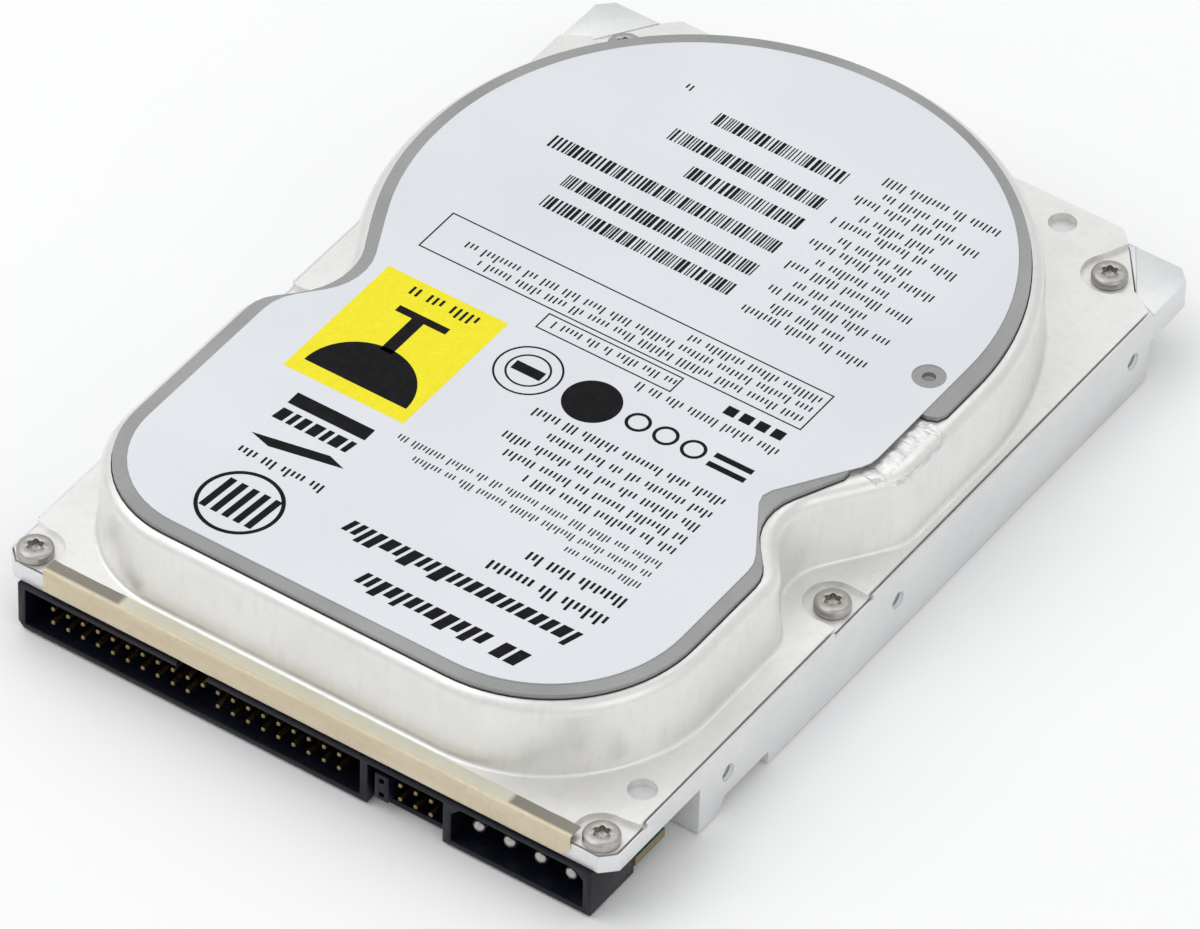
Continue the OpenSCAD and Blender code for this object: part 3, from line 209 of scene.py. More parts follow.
def board_shader():
    """Solder mask over copper traces, with plated holes."""
    s = Shader("board_laminate", (0.008, 0.055, 0.032), 0.32, 0.0, Coat_Weight=0.4)
    steps = s.node("ShaderNodeTexBrick", {
        "Vector": s.coords(), "Scale": 0.22, "Mortar Size": 0.06, "Mortar Smooth": 0.1,
        "Brick Width": 1.4, "Row Height": 0.32}, offset=0.37, squash=1.0).outputs["Fac"]
    runs = s.node("ShaderNodeTexBrick", {
        "Vector": s.coords(turn=math.pi / 2), "Scale": 0.3, "Mortar Size": 0.05, "Mortar Smooth": 0.1,
        "Brick Width": 2.1, "Row Height": 0.4}, offset=0.61, squash=1.0).outputs["Fac"]
    zones = s.noise(0.08, 2)
    s.tint(s.ramp(zones, 0, 1, 0.45, 0.55), (0.02, 0.13, 0.06))
    s.tint(steps, (0.03, 0.2, 0.1), 0.4, 0.6, 0.8)
    s.tint(runs, (0.035, 0.21, 0.11), 0.4, 0.6, 0.5)
    s.tint(s.cells(0.32), (0.72, 0.6, 0.36), 0.14, 0.1)
    edge = s.ramp(s.facing_up(), 1, 0, 0.3, 0.6)
    s.tint(edge, (0.20, 0.135, 0.055), 0, 1)
    return s.bump(steps, 0.02)


def disc_shader():
    """Polished disc with the faintest turning rings about the spindle."""
    s = Shader("disc_mirror", (0.62, 0.62, 0.64), 0.08, 1.0)
    place = s.node("ShaderNodeTexCoord").outputs["Object"]
    centred = s.node("ShaderNodeVectorMath", {
        0: place, 1: (HUB.x, HUB.y, 0)}, operation="SUBTRACT").outputs[0]
    rings = s.node("ShaderNodeTexWave", {"Vector": centred, "Scale": 900.0, "Distortion": 0.0},
                   wave_type="RINGS", rings_direction="Z").outputs["Fac"]
    s.roughen(rings, 0.06, 0.12, 0.0, 1.0)
    return s.bump(rings, 0.0006)


def label_shader():
    """Pale printed film, a little silvery, with soft pressure marks."""
    s = Shader("label_film", (0.70, 0.72, 0.755), 0.36, 0.1, Coat_Weight=0.2, Coat_Roughness=0.3)
    s.tint(s.noise(0.035, 2), (0.75, 0.765, 0.79))
    s.tint(s.noise(3.5, 6), (0.66, 0.68, 0.72), 0.35, 0.75, 0.5)
    s.roughen(s.noise(0.25), 0.28, 0.42)
    s.bump(s.noise(0.06, 2), 0.05)
    return s.bump(s.noise(8.0, 4), 0.003)


def tape_shader():
    """Tape, tan where it hangs down in front, painted lighter cream-grey on top as painted light on the
    upward face, and grey-brown at the two ends on top.
    """
    s = Shader("paper_tape", (0.62, 0.52, 0.36), 0.5, 0.25)
    s.tint(s.noise(0.3, 5, (0.25, 1, 1)), (0.70, 0.62, 0.46))
    s.tint(s.noise(1.1, 6), (0.52, 0.43, 0.29), 0.5, 0.8, 0.5)
    on_top = s.ramp(s.axis("Y"), 0, 1, 0.7, 1.1)
    # Painted light: the top of the tape is painted lighter and greyer than the tan front.
    s.tint(on_top, (0.66, 0.64, 0.52), 0, 1)
    for start, end in ((-31.6, -30.9), (33.3, 34.0)):
        beyond = s.ramp(s.axis("X"), *((1, 0) if start < 0 else (0, 1)), start, end)
        s.tint(s.product(on_top, beyond), (0.20, 0.18, 0.15), 0, 1, 0.9)
    s.roughen(s.noise(0.9), 0.34, 0.55)
    s.bump(s.noise(0.5, 3), 0.05)
    return s.bump(s.noise(7.0, 5), 0.008)


def foil_shader():
    """Creased foil tape."""
    s = Shader("seal_foil", (0.80, 0.80, 0.78), 0.28, 0.85)
    s.tint(s.noise(0.6, 4), (0.66, 0.66, 0.65))
    s.roughen(s.noise(1.2), 0.2, 0.4)
    s.bump(s.noise(0.9, 4, (0.5, 1, 1)), 0.12)
    return s.bump(s.noise(5.0, 5), 0.01)


def cast_shader():
    """Light grey coated casting: fine grain, machined gloss, slight dirt."""
    s = Shader("cast_aluminium", (0.74, 0.75, 0.76), 0.42, 0.55)
    s.tint(s.noise(0.09, 3), (0.80, 0.80, 0.79))
    s.tint(s.noise(1.4, 6), (0.63, 0.63, 0.64), 0.52, 0.8, 0.5)
    s.roughen(s.noise(0.5), 0.36, 0.52)
    s.bump(s.noise(2.2, 6), 0.02)
    return s.bump(s.noise(11.0, 4), 0.004)


def cover_shader():
    """Drawn aluminium sheet: soft sheen, faint drawing marks, small handling dents and dust."""
    s = Shader("drawn_cover", (0.79, 0.78, 0.755), 0.38, 0.76)
    s.tint(s.noise(0.06, 3), (0.85, 0.845, 0.825))
    s.tint(s.noise(0.9, 6, (1, 1, 0.25)), (0.70, 0.69, 0.67), 0.5, 0.85, 0.6)
    s.tint(s.cells(0.45), (0.45, 0.42, 0.38), 0.05, 0.02, 0.5)
    s.roughen(s.noise(0.35, 5), 0.31, 0.47)
    s.bump(s.noise(0.22, 3), 0.05)
    return s.bump(s.noise(6.0, 6), 0.006)


def plate_shader():
    """Dull grey damping plate with long soft streaks."""
    s = Shader("damping_steel", (0.30, 0.30, 0.30), 0.4, 0.6)
    s.tint(s.noise(0.05, 2), (0.38, 0.38, 0.375))
    s.tint(s.noise(2.5, 6), (0.24, 0.24, 0.24), 0.5, 0.8, 0.5)
    s.roughen(s.noise(0.4, 4), 0.34, 0.5)
    return s.bump(s.noise(5.0, 6), 0.008)


def plastic(name, color, rough, grain=10.0, tinted=None, **extra):
    """Moulded or printed surface with cloudy colour and a fine grain."""
    s = Shader(name, color, rough, 0.0, **extra)
    s.tint(s.noise(0.5), tinted or tuple(c * 1.5 + 0.004 for c in color))
    s.tint(s.noise(4.0, 5), tuple(c * 0.8 for c in color), 0.4, 0.8, 0.7)
    s.roughen(s.noise(1.5), rough - 0.08, rough + 0.1)
    return s.bump(s.noise(grain, 5), 0.006)


def weave(name, color):
    s = Shader(name, color, 0.9, 0.0, Sheen_Weight=0.4)
    s.tint(s.noise(3.0, 6), tuple(0.8 * c for c in color))
    s.bump(s.cells(4.0), 0.05)
    return s.bump(s.noise(12.0, 4), 0.02)


SLOT_SHADERS = {
    "cast_aluminium": cast_shader(),
    "drawn_cover": cover_shader(),
    "damping_steel": plate_shader(),
    "screw_steel": worn_metal("screw_steel", (0.50, 0.48, 0.455), 0.32),
    "gasket_foam": plastic("gasket_foam", (0.012, 0.012, 0.012), 0.8, grain=4.0),
    "label_film": label_shader(),
    "seal_foil": foil_shader(),
    "paper_tape": tape_shader(),
    "board_laminate": board_shader(),
    "insulator_foam": plastic("insulator_foam", (0.02, 0.02, 0.024), 0.85, grain=3.0),
    "connector_plastic": plastic("connector_plastic", (0.002, 0.0025, 0.006), 0.34,
                                 tinted=(0.003, 0.0045, 0.012), Specular_IOR_Level=0.28),
    "gold_pins": worn_metal("gold_pins", (0.30, 0.225, 0.11), 0.34),
    "tin_pins": worn_metal("tin_pins", (0.52, 0.51, 0.49), 0.3),
    "chip_epoxy": plastic("chip_epoxy", (0.016, 0.016, 0.018), 0.5, grain=14.0),
    "crystal_can": worn_metal("crystal_can", (0.7, 0.7, 0.69), 0.3),
    "capacitor_body": plastic("capacitor_body", (0.62, 0.38, 0.10), 0.4),
    "resistor_body": plastic("resistor_body", (0.02, 0.02, 0.024), 0.4),
    "contact_plastic": plastic("contact_plastic", (0.72, 0.68, 0.55), 0.45),
    "motor_steel": rolled("motor_steel", (0.50, 0.50, 0.52), (0.42, 0.42, 0.44), 0.32, 1.0),
    "lamination": rolled("lamination", (0.18, 0.18, 0.2), (0.24, 0.23, 0.24), 0.45, 0.9),
    "copper_wire": rolled("copper_wire", (0.62, 0.24, 0.07), (0.5, 0.18, 0.05), 0.3, 0.9, "y", 0.05),
    "bearing_steel": worn_metal("bearing_steel", (0.64, 0.64, 0.66), 0.16),
    "hub_aluminium": rolled("hub_aluminium", (0.68, 0.69, 0.70), (0.6, 0.61, 0.62), 0.28, 1.0),
    "magnet": worn_metal("magnet", (0.16, 0.16, 0.18), 0.5),
    "disc_mirror": disc_shader(),
    "arm_aluminium": rolled("arm_aluminium", (0.70, 0.70, 0.72), (0.62, 0.62, 0.64), 0.3, 1.0, "y"),
    "spring_steel": rolled("spring_steel", (0.66, 0.66, 0.68), (0.58, 0.58, 0.6), 0.22, 1.0, "y"),
    "slider_ceramic": plastic("slider_ceramic", (0.03, 0.03, 0.034), 0.3),
    "polyimide": plastic("polyimide", (0.55, 0.22, 0.03), 0.25, Coat_Weight=0.4),
    "magnet_nickel": worn_metal("magnet_nickel", (0.66, 0.65, 0.62), 0.2),
    "stop_rubber": plastic("stop_rubber", (0.012, 0.012, 0.012), 0.7),
    "filter_cloth": weave("filter_cloth", (0.86, 0.86, 0.83)),
}

for part in frame["record"]["subparts"]:
    node = NODES[part["node"]]
    node.data.materials.clear()
    node.data.materials.append(SLOT_SHADERS[part["material_slot"]].mat)


# ------------------------------------------------------------- mesh helpers

def add_piece(name, bm, slot, body="drive", shader=None, replaces=(), smooth_deg=30.0):
    """Turns a bmesh into a shaded piece that rides on a body."""
    mesh = bpy.data.meshes.new(name)
    bmesh.ops.recalc_face_normals(bm, faces=bm.faces)
    bm.to_mesh(mesh)
    bm.free()
    mesh.materials.append((shader or SLOT_SHADERS[slot]).mat)
    piece = bpy.data.objects.new(name, mesh)
    bpy.context.scene.collection.objects.link(piece)
    shade(piece, smooth_deg)
    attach(piece, body)
    if replaces:
        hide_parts(*replaces)
    return piece


def shade(piece, smooth_deg):
    """Smooth shading, with every edge sharper than smooth_deg kept sharp."""
    mesh = piece.data
    mesh.polygons.foreach_set("use_smooth", [True] * len(mesh.polygons))
    limit = math.radians(smooth_deg)
    bm = bmesh.new()
    bm.from_mesh(mesh)
    for e in bm.edges:
        e.smooth = len(e.link_faces) == 2 and e.calc_face_angle(0.0) < limit
    bm.to_mesh(mesh)
    bm.free()


def from_node(node, flatten=True):
    """The CAD node's mesh as a welded bmesh; flatten drops the inner edges of its flat faces.

    A node whose flat faces have holes in them is bevelled unflattened, or the bevel closes the holes.
    """
    bm = bmesh.new()
    bm.from_mesh(NODES[node].data)
    bmesh.ops.remove_doubles(bm, verts=bm.verts, dist=WELD)
    if flatten:
        bmesh.ops.dissolve_limit(bm, angle_limit=math.radians(0.4), verts=bm.verts, edges=bm.edges)
    return bm


def islands(node):
    """The (low, high) corners of each separate solid in a CAD node."""
    bm = from_node(node, flatten=False)
    left, boxes = set(bm.verts), []
    while left:
        group, stack = [], [left.pop()]
        while stack:
            vert = stack.pop()
            group.append(vert.co)
            near = {e.other_vert(vert) for e in vert.link_edges} & left
            left -= near
            stack += near
        boxes.append(tuple(Vector(f(co[k] for co in group) for k in range(3)) for f in (min, max)))
    bm.free()
    return sorted(boxes, key=lambda box: tuple(round(c, 6) for c in box[0]))


def at(x, y, z):
    """A point from millimetres, with y counted from the connector mouth."""
    return Vector((x * MM, MOUTH_Y + y * MM, z * MM))


def bridge(bm, loops, closed=True):
    """Quads between successive loops of vertices."""
    for a, b in zip(loops, loops[1:]):
        for i in range(len(a) if closed else len(a) - 1):
            j = (i + 1) % len(a)
            bm.faces.new((a[i], a[j], b[j], b[i]))


def lathe(bm, centre, profile, sides=48, lobes=None, along=(0, 0, 1)):
    """Turns a profile of (radius, height) in millimetres about an axis through centre.

    lobes(k, turn) scales the radius of profile point k at a turn in radians, for a star recess.
    """
    turn_to = Vector((0, 0, 1)).rotation_difference(Vector(along)).to_matrix()
    loops = []
    for k, (radius, height) in enumerate(profile):
        loop = []
        for i in range(sides):
            turn = 2 * math.pi * i / sides
            r = radius * (lobes(k, turn) if lobes else 1)
            spot = Vector((r * math.cos(turn), r * math.sin(turn), height)) * MM
            loop.append(bm.verts.new(centre + turn_to @ spot))
        loops.append(loop)
    bridge(bm, loops)
    bm.faces.new(loops[0])
    bm.faces.new(loops[-1])


def sheet(rows, thickness_mm):
    """A closed thin sheet over a grid of points; the thickness grows away from the points' normal side."""
    bm = bmesh.new()
    bridge(bm, [[bm.verts.new(p) for p in row] for row in rows], closed=False)
    bmesh.ops.recalc_face_normals(bm, faces=bm.faces)
    bmesh.ops.solidify(bm, geom=bm.faces[:], thickness=thickness_mm * MM)
    return bm


def soften(bm, width_mm, min_length_mm=0.9, segments=2):
    """Bevels the long edges sharper than SHARP_EDGE."""
    edges = [e for e in bm.edges
             if len(e.link_faces) == 2 and e.calc_face_angle(0.0) > SHARP_EDGE
             and e.calc_length() > min_length_mm * MM]
    bmesh.ops.bevel(bm, geom=edges, offset=width_mm * MM, segments=segments, profile=0.5,
                    affect="EDGES", clamp_overlap=False)
    bmesh.ops.remove_doubles(bm, verts=bm.verts, dist=WELD)
    return bm


# --------------------------------------------------------------- big pieces

add_piece("base_cast", soften(from_node("base_casting", flatten=False), 0.12), "cast_aluminium",
          replaces=("base_casting",))
add_piece("cover_sheet", from_node("top_cover", flatten=False), "drawn_cover", replaces=("top_cover",))
add_piece("connector_block", soften(from_node("connector_housing", flatten=False), 0.18), "connector_plastic",
          replaces=("connector_housing",))
add_piece("jumper_shell", soften(from_node("jumper_cap"), 0.15), "connector_plastic", body="jumper",
          replaces=("jumper_cap",))
for pins, slot in (("data_pins", "gold_pins"), ("setting_pins", "gold_pins")):
    add_piece(pins + "_tapered", soften(from_node(pins), 0.14, min_length_mm=0.4, segments=1), slot,
              replaces=(pins,))


# ----------------------------------------------------------- turned pieces

def screw_heads():
    """Pan-head screws with a six-lobed recess."""
    low, high = islands("cover_screws")[0]
    head_r = (high.x - low.x) / 2 / MM
    head_t = 1.5
    shank_t = (high.z - low.z) / MM - head_t
    shank_r, recess_r, recess_depth = 1.42, 1.3, 0.95
    profile = [(shank_r * 0.7, -shank_t), (shank_r, 0.5 - shank_t), (shank_r, 0),
               (head_r - 0.2, 0), (head_r, 0.16), (head_r, 0.9), (head_r - 0.08, 1.14), (head_r - 0.28, 1.34),
               (head_r - 0.62, 1.44), (recess_r + 0.12, head_t), (recess_r, head_t - 0.05),
               (recess_r * 0.94, head_t - recess_depth), (recess_r * 0.4, head_t - recess_depth - 0.15)]
    first_lobed = len(profile) - 4

    def lobes(k, turn):
        return 1.0 if k < first_lobed else 0.88 + 0.13 * math.cos(6 * turn)

    bm = bmesh.new()
    for low, high in islands("cover_screws"):
        seat = Vector(((low.x + high.x) / 2, (low.y + high.y) / 2, high.z - head_t * MM))
        lathe(bm, seat, profile, 72, lobes)
    return bm


def round_tipped_pins(node, tip):
    """Round pins along Y with domed tips towards the mouth."""
    bm = bmesh.new()
    for low, high in islands(node):
        r = (high.x - low.x) / 2 / MM
        length = (high.y - low.y) / MM
        foot = Vector(((low.x + high.x) / 2, high.y, (low.z + high.z) / 2))
        dome = [(r * math.cos(a), length - tip + tip * math.sin(a))
                for a in (math.radians(12 * k) for k in range(8))]
        lathe(bm, foot, [(r, 0)] + dome, 32, along=(0, -1, 0))
    return bm


THREAD_PITCH, THREAD_LENGTH, CREST_HEIGHT = 0.79, 2.9, 0.24       # millimetres
THREAD_SIDES = 40


def thread_ring(bm, mouth, inward, wall_r):
    """A closed ring of thread crests just inside a hole, from its mouth inwards."""
    start, root_r, foot_r = 0.12, wall_r - 0.08, wall_r - 0.02
    turns = int(THREAD_LENGTH / THREAD_PITCH)
    end = start + THREAD_PITCH * turns
    profile = [(foot_r, start - 0.02)]
    for k in range(turns):
        profile += [(root_r, start + THREAD_PITCH * k),
                    (wall_r - CREST_HEIGHT, start + THREAD_PITCH * (k + 0.5))]
    profile += [(root_r, end), (foot_r, end + 0.02)]
    turn_to = Vector((0, 0, 1)).rotation_difference(inward).to_matrix()
    turns_round = [2 * math.pi * i / THREAD_SIDES for i in range(THREAD_SIDES)]
    loops = [[bm.verts.new(mouth + turn_to @ Vector((r * math.cos(a), r * math.sin(a), h)) * MM)
              for a in turns_round] for r, h in profile]
    bridge(bm, loops + loops[:1])


def hole_threads():
    """Threads in every mounting hole, placed by the record's bolt patterns.

    A pattern's x and y spacings run along the two world axes that its own axis leaves free.
    """
    bm, done = bmesh.new(), set()
    patterns = [m for m in frame["record"]["mounts"] if m["kind"] == "bolt_pattern"]
    for mount in patterns:
        dims, axis, centre = mount["dims"], Vector(mount["axis"]), Vector(mount["pos_m"])
        free_axes = [d for d in Matrix.Identity(3).col if abs(d.dot(axis)) < 0.5]
        shifts = []
        for way, key in zip(free_axes, ("spacing_x_mm", "spacing_y_mm")):
            half = dims.get(key, 0) / 2 * MM
            shifts.append((-half * way, half * way))
        for a in shifts[0]:
            for b in shifts[1]:
                mouth = centre + a + b
                place = tuple(round(c, 5) for c in mouth)
                if place not in done:
                    done.add(place)
                    thread_ring(bm, mouth, -axis, dims["hole_r_mm"])
    return bm


add_piece("hole_threads", hole_threads(), "cast_aluminium", smooth_deg=20)
add_piece("cover_screw_heads", screw_heads(), "screw_steel", replaces=("cover_screws",), smooth_deg=42)
add_piece("power_pins_domed", round_tipped_pins("power_pins", 0.8), "tin_pins", replaces=("power_pins",))


# ------------------------------------------------------------------- tapes

def front_tape():
    """Tape folded over the front edge of the flange, with a rounded lower corner at the power end."""
    low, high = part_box("front_seal_tape")
    x0, x1 = low[0] / MM, high[0] / MM
    y0, y1 = (low[1] - MOUTH_Y) / MM, (high[1] - MOUTH_Y) / MM
    z0, z1 = low[2] / MM, high[2] / MM
    columns, fold_r, corner_r = 150, 0.35, 1.8
    rows = []
    for i in range(columns + 1):
        x = x0 + (x1 - x0) * i / columns
        past = max(0.0, x - (x1 - corner_r))
        foot = z0 + 0.08 + corner_r - math.sqrt(corner_r ** 2 - min(past, corner_r * 0.995) ** 2)
        ragged = 0.12 * noise((x * 0.4, 0, 3.1))
        path = [(y0, foot + (z1 - fold_r - foot) * k / 6) for k in range(7)]
        path += [(y0 + fold_r - fold_r * math.cos(a), z1 - fold_r + fold_r * math.sin(a))
                 for a in (math.radians(22.5 * k) for k in range(1, 5))]
        path += [(y0 + fold_r + (y1 - 0.1 - y0 - fold_r + ragged) * k / 5, z1) for k in range(1, 6)]
        dent = [0.035 * noise((x * 0.22, y * 0.8, z * 0.5)) - 0.035 for y, z in path]
        rows.append([at(x, y - d, z + d) for (y, z), d in zip(path, dent)])
    return sheet(rows, -0.1)


def waist_tape():
    """Foil pressed over the port at the waist of the cover, found by rays onto the cover."""
    low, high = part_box("side_port_seal")
    mesh = NODES["top_cover"].data
    cover = BVHTree.FromPolygons([v.co for v in mesh.vertices], [p.vertices for p in mesh.polygons])
    columns, steps, bend_z = 44, 26, high[2] - 0.95 * MM
    rows = []
    for i in range(columns + 1):
        u = i / columns
        y = low[1] + (high[1] - low[1]) * u
        hem = low[2] + (1.1 * abs(2 * u - 1) ** 7 + 0.12 * noise((u * 5, 0, 0))) * MM
        track = []
        for k in range(80):
            spot, normal = cover.ray_cast(Vector((low[0] + k * 0.08 * MM, y, 0.05)), Vector((0, 0, -1)))[:2]
            if spot is None or spot.z < bend_z:
                break
            track.append((spot, normal))
        for k in range(40):
            z = bend_z - k * 0.08 * MM
            spot, normal = cover.ray_cast(Vector((0.08, y, z)), Vector((-1, 0, 0)))[:2]
            if z < hem or spot is None:
                break
            track.append((spot, normal))
        row = []
        for k in range(steps + 1):
            place = (len(track) - 1) * k / steps
            (a, na), (b, nb) = track[int(place)], track[min(int(place) + 1, len(track) - 1)]
            spot, normal = a.lerp(b, place % 1), na.lerp(nb, place % 1).normalized()
            mm = spot / MM
            crease = max(0.0, noise((mm.y * 0.9, mm.z * 1.6, mm.x * 0.8)) + 0.15)
            row.append(spot + normal * (0.05 + 0.13 * crease) * MM)
        rows.append(row)
    return sheet(rows, 0.03)


add_piece("front_tape", front_tape(), "paper_tape", replaces=("front_seal_tape",))
add_piece("waist_tape", waist_tape(), "seal_foil", replaces=("side_port_seal",), smooth_deg=80)


def plate_edge_shadow():
    """A dark strip that shows round the damping plate: painted shadow along the plate's edge, where it meets
    the cover.
    """
    bm = from_node("damping_plate")
    foot = {e: set(e.verts) for e in bm.edges
            if all(abs(v.co.z - PLATEAU_Z) < 0.02 * MM for v in e.verts)
            and any(abs(f.normal.z) < 0.3 for f in e.link_faces)}
    loops = []
    while foot:
        edge, ends = foot.popitem()
        loop, tip = [edge.verts[0]], edge.verts[1]
        while tip is not loop[0]:
            loop.append(tip)
            onward = next(e for e in tip.link_edges if e in foot)
            foot.pop(onward)
            tip = onward.other_vert(tip)
        loops.append([v.co.copy() for v in loop])
    bm.free()
    outline = max(loops, key=lambda loop: sum((a - b).length for a, b in zip(loop, loop[1:])))
    turned = sum(a.x * b.y - a.y * b.x for a, b in zip(outline, outline[1:] + outline[:1]))
    out = 1 if turned > 0 else -1
    bm = bmesh.new()
    ring = []
    for offset, height in ((-0.1, 0.0), (0.16, 0.0), (0.16, 0.05), (-0.1, 0.05)):
        rim = []
        for before, here, after in zip(outline[-1:] + outline[:-1], outline, outline[1:] + outline[:1]):
            way = ((here - before).normalized() + (after - here).normalized()).normalized()
            rim.append(bm.verts.new(here + Vector((way.y, -way.x, 0)) * out * offset * MM
                                    + Vector((0, 0, height * MM))))
        ring.append(rim)
    bridge(bm, ring + ring[:1])
    return bm


# The dark strip round the plate is painted shadow, given the black gasket material.
add_piece("plate_edge_shadow", plate_edge_shadow(), "gasket_foam")


# ------------------------------------------------------------- label print

class Print:
    """Flat print on the label: closed slabs a few hundredths of a millimetre high."""

    def __init__(self, low, high):
        self.bm = bmesh.new()
        self.low, self.high = LABEL_TOP / MM + low, LABEL_TOP / MM + high

    def shape(self, outline):
        """One closed slab over an outline of (x, y) points in millimetres."""
        loops = [[self.bm.verts.new(at(x, y, z)) for x, y in outline] for z in (self.low, self.high)]
        bridge(self.bm, loops)
        for loop in loops:
            self.bm.faces.new(loop)

    def bar(self, x0, x1, y0, y1, lean=0.0):
        self.shape([(x0, y0), (x1, y0), (x1 + lean, y1), (x0 + lean, y1)])

    def box(self, x0, x1, y0, y1, line=0.22):
        for a, b in ((y0, y0 + line), (y1 - line, y1)):
            self.bar(x0, x1, a, b)
        for a, b in ((x0, x0 + line), (x1 - line, x1)):
            self.bar(a, b, y0 + line, y1 - line)

    def disc(self, x, y, r, start=0, end=360):
        turns = [math.radians(start + (end - start) * k / 48) for k in range(48 + (end - start < 360))]
        self.shape([(x + r * math.cos(a), y + r * math.sin(a)) for a in turns])

    def ring(self, x, y, r, width, sides=64):
        turns = [2 * math.pi * k / sides for k in range(sides)]
        section = ((r, self.low), (r, self.high), (r - width, self.high), (r - width, self.low))
        loops = [[self.bm.verts.new(at(x + radius * math.cos(a), y + radius * math.sin(a), z))
                  for a in turns] for radius, z in section]
        bridge(self.bm, loops + loops[:1])

    def barcode(self, x0, x1, y, height=2.7):
        x = x0
        while x < x1:
            thick = rnd.choice((0.2, 0.2, 0.38, 0.56))
            self.bar(x, x + thick, y - height / 2, y + height / 2)
            x += thick + rnd.choice((0.2, 0.26, 0.42))

    def words(self, x0, x1, y, height, stroke=0.26, pitch=0.72, lean=0.0, letters=(3, 9)):
        """Upright strokes in word-sized groups, read towards -X, in place of a line of print."""
        x = x1
        while x - pitch > x0:
            for _ in range(rnd.randint(*letters)):
                tall = height * rnd.choice((0.62, 0.62, 0.8, 1.0))
                self.bar(x - stroke, x, y + height / 2, y + height / 2 - tall, -lean * tall)
                x -= pitch
                if x - pitch < x0:
                    break
            x -= pitch

    def blocks(self, x0, x1, y, height, lean=0.3):
        """Heavy leaning blocks of uneven width, in place of a title."""
        x = x1
        while x > x0 + 1.0:
            thick = rnd.choice((0.9, 1.3, 1.7))
            tall = height * rnd.choice((0.72, 0.72, 1.0))
            self.bar(x - thick, x, y + height / 2, y + height / 2 - tall, -lean * tall)
            x -= thick + 0.55


def print_label():
    """Generic bars, boxes and stroke rows where the real label has its print."""
    ink, patch, mark = Print(-0.01, 0.02), Print(-0.01, 0.02), Print(0.01, 0.04)
    for x0, x1, y in ((-13.8, 8.5, 119.4), (-17, 8.5, 113), (-10.5, 8.5, 107.7),
                      (-29.8, 8.5, 101.8), (-23.5, 8.5, 96), (-23.5, 8.5, 90.8)):
        ink.barcode(x0, x1, y)
    for k in range(6):
        ink.words(11, 32, 116.7 - 5.64 * k, 1.9)
        ink.words(14, 26.5, 119.2 - 5.64 * k, 1.9)
    ink.words(-22, -20, 122.5, 1.6)
    ink.words(12, 32, 122.3, 1.9)
    ink.box(-32.2, 32.1, 72.6, 81.1)
    for x0, y in ((8, 79), (-28, 76.6), (-24, 74.3)):
        ink.words(x0, 31, y, 1.7)
    ink.box(-9.4, 13.3, 68.4, 71.9)
    ink.words(-8.6, 12.8, 70.2, 1.6, letters=(2, 5))
    ink.words(8, 32, 66.8, 1.8)
    for k in range(4):
        ink.bar(21.4 + 2.6 * k, 23.2 + 2.6 * k, 69.2, 71)
    ink.ring(-5, 60.5, 5, 0.3)
    ink.ring(-5, 60.5, 3.3, 0.3)
    ink.bar(-7.4, -2.6, 59.6, 61.4)
    ink.disc(5.7, 60.5, 4.3)
    for k, x in enumerate((12, 16.6, 21.2)):
        ink.ring(x + 1.2, 60.8, 1.9, 0.5, 40)
    ink.bar(25.4, 31.6, 59.2, 60.2)
    ink.bar(25.4, 31.6, 61.2, 62.2)
    for x0, y in ((-0.5, 54.2), (3, 51), (-1, 48), (0.5, 45), (6, 42.3)):
        ink.words(x0, 31.7, y, 1.8, 0.3, 0.74)
    for x0, y in ((-12.7, 39), (-8, 36.5), (19, 34)):
        ink.words(x0, 31.7, y, 1.5, 0.22, 0.6)
    ink.words(15.4, 32, 30, 2.2, 0.42, 0.86)
    ink.words(11.4, 32, 25.5, 2.4, 0.46, 0.94)
    ink.blocks(-7, 31, 20.3, 3.4)
    ink.blocks(-0.5, 21.5, 13, 3.4)
    for k in range(2):
        ink.bar(22.6 + 2.4 * k, 24.4 + 2.4 * k, 11.4, 14.6, 0.9)
    ink.bar(-28, -15, 35.7, 38.2)
    ink.blocks(-28, -15.4, 32.9, 3.4, 0.15)
    ink.shape([(-28.5, 28), (-17, 30.4), (-14, 29.4), (-25, 27)])
    ink.words(-28.5, -14, 24.2, 1.8, 0.36, 0.8)
    ink.ring(-21.5, 15.6, 6.3, 0.6)
    for k in range(5):
        ink.bar(-26 + 1.9 * k, -24.9 + 1.9 * k, 12.2, 19, 0.6)
    patch.bar(-33, -12.7, 41.6, 66.7)
    mark.disc(-22.7, 44.2, 8.6, 0, 180)
    mark.bar(-24.1, -22.1, 52, 59.7)
    mark.bar(-27, -18.5, 59.7, 61)
    mark.words(-29, -16.4, 64.3, 2.1, 0.42, 0.98)
    add_piece("label_ink", ink.bm, "label_film", shader=INK)
    add_piece("label_patch", patch.bm, "label_film", shader=YELLOW)
    add_piece("label_marks", mark.bm, "label_film", shader=INK)


rnd = random.Random(8)
INK = plastic("label_ink", (0.004, 0.004, 0.005), 0.6, grain=14.0, Specular_IOR_Level=0.1)
YELLOW = plastic("label_yellow", (0.88, 0.77, 0.01), 0.45, tinted=(0.92, 0.82, 0.02), grain=14.0,
                 Specular_IOR_Level=0.25)
print_label()


# --------------------------------------------------------- camera and light

AZIMUTH, ELEVATION, ROLL = 33.37, 43.08, 1.89      # degrees, as in the photograph
DISTANCE = 1.519
AIM = Vector((0.00606, -0.01105, 0.013))
LENS = 329.4                                        # millimetres, on a 36 mm sensor
WORLD_STRENGTH = 0.74
FLOOR_GAP = 0.0002


def look_from(azimuth, elevation, distance):
    a, e = math.radians(azimuth), math.radians(elevation)
    return Vector((math.sin(a) * math.cos(e), -math.cos(a) * math.cos(e), math.sin(e))) * distance


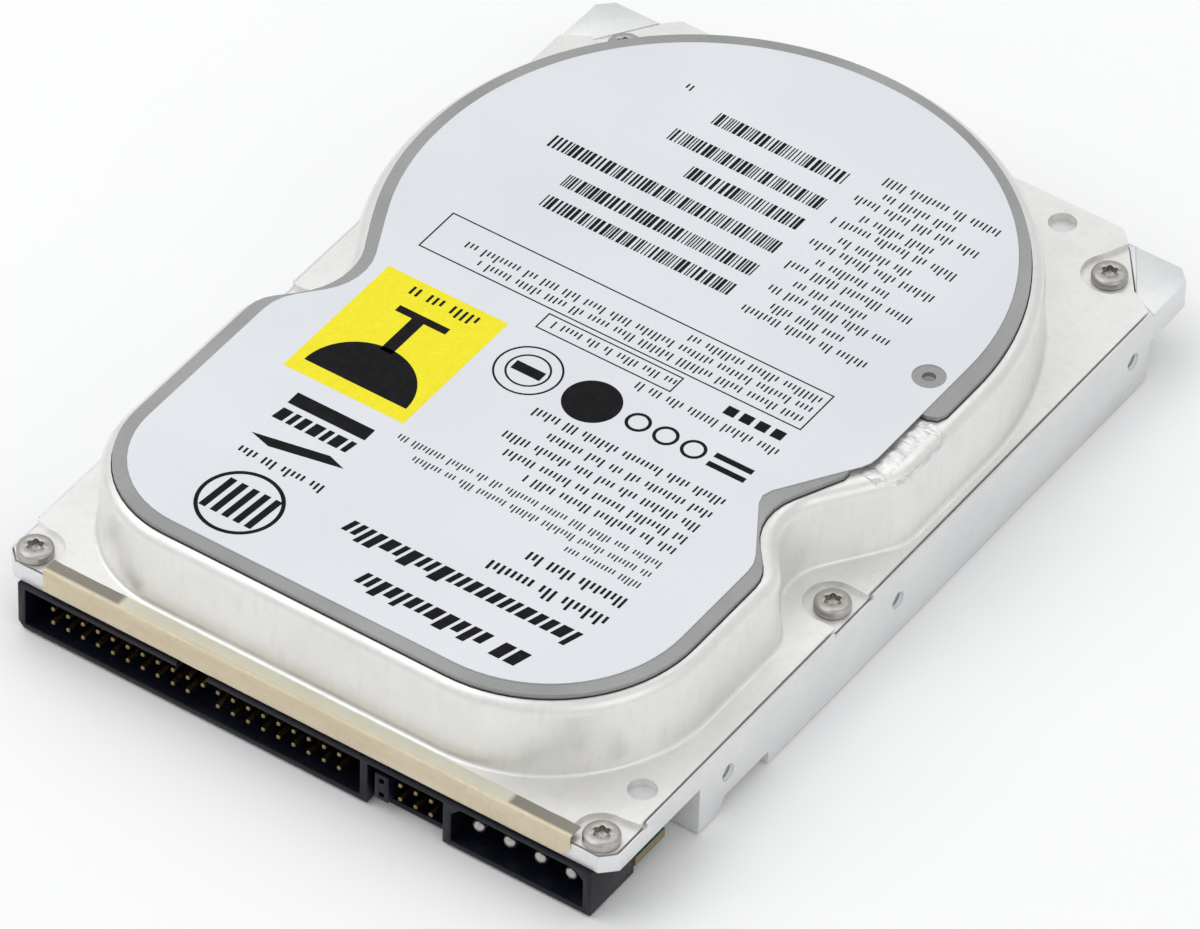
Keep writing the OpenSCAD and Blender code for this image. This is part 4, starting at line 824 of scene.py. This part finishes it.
def add_camera():
    data = bpy.data.cameras.new("camera")
    data.sensor_width = 36.0
    data.lens = LENS
    data.clip_start, data.clip_end = 0.05, 20.0
    cam = bpy.data.objects.new("camera", data)
    back = look_from(AZIMUTH, ELEVATION, 1.0)
    right = Vector((math.cos(math.radians(AZIMUTH)), math.sin(math.radians(AZIMUTH)), 0))
    axes = Matrix((right, back.cross(right), back)).transposed().to_4x4()
    cam.matrix_world = (Matrix.Translation(AIM + back * DISTANCE) @ axes
                        @ Matrix.Rotation(math.radians(ROLL), 4, "Z"))
    bpy.context.scene.collection.objects.link(cam)
    bpy.context.scene.camera = cam


def add_light(name, azimuth, elevation, distance, size, power):
    """A soft rectangular lamp in watts, aimed at the origin."""
    data = bpy.data.lights.new(name, "AREA")
    data.shape, data.size, data.size_y = "RECTANGLE", size[0], size[1]
    data.energy = power
    lamp = bpy.data.objects.new(name, data)
    lamp.location = look_from(azimuth, elevation, distance)
    lamp.rotation_euler = lamp.location.to_track_quat("Z", "Y").to_euler()
    bpy.context.scene.collection.objects.link(lamp)


def add_floor():
    bm = bmesh.new()
    bmesh.ops.create_grid(bm, x_segments=8, y_segments=8, size=3.0)
    mesh = bpy.data.meshes.new("floor")
    bm.to_mesh(mesh)
    bm.free()
    s = Shader("floor_paint", (0.93, 0.93, 0.93), 0.6)
    s.bump(s.noise(0.05, 3), 0.02)
    mesh.materials.append(s.mat)
    floor = bpy.data.objects.new("floor", mesh)
    floor.location.z = CAD_BOX[0][2] - FLOOR_GAP
    bpy.context.scene.collection.objects.link(floor)


def add_world():
    world = bpy.data.worlds.new("studio")
    world.use_nodes = True
    world.node_tree.nodes["Background"].inputs[0].default_value = (0.98, 0.99, 1.0, 1.0)
    world.node_tree.nodes["Background"].inputs[1].default_value = WORLD_STRENGTH
    bpy.context.scene.world = world


add_camera()
add_world()
add_floor()
add_light("key", -60, 55, 1.4, (1.3, 1.3), 5.5)
add_light("fill", 75, 35, 1.6, (1.2, 0.9), 2.2)
add_light("back", 205, 62, 1.6, (1.9, 0.9), 3.6)
bpy.context.scene.view_settings.view_transform = "Standard"
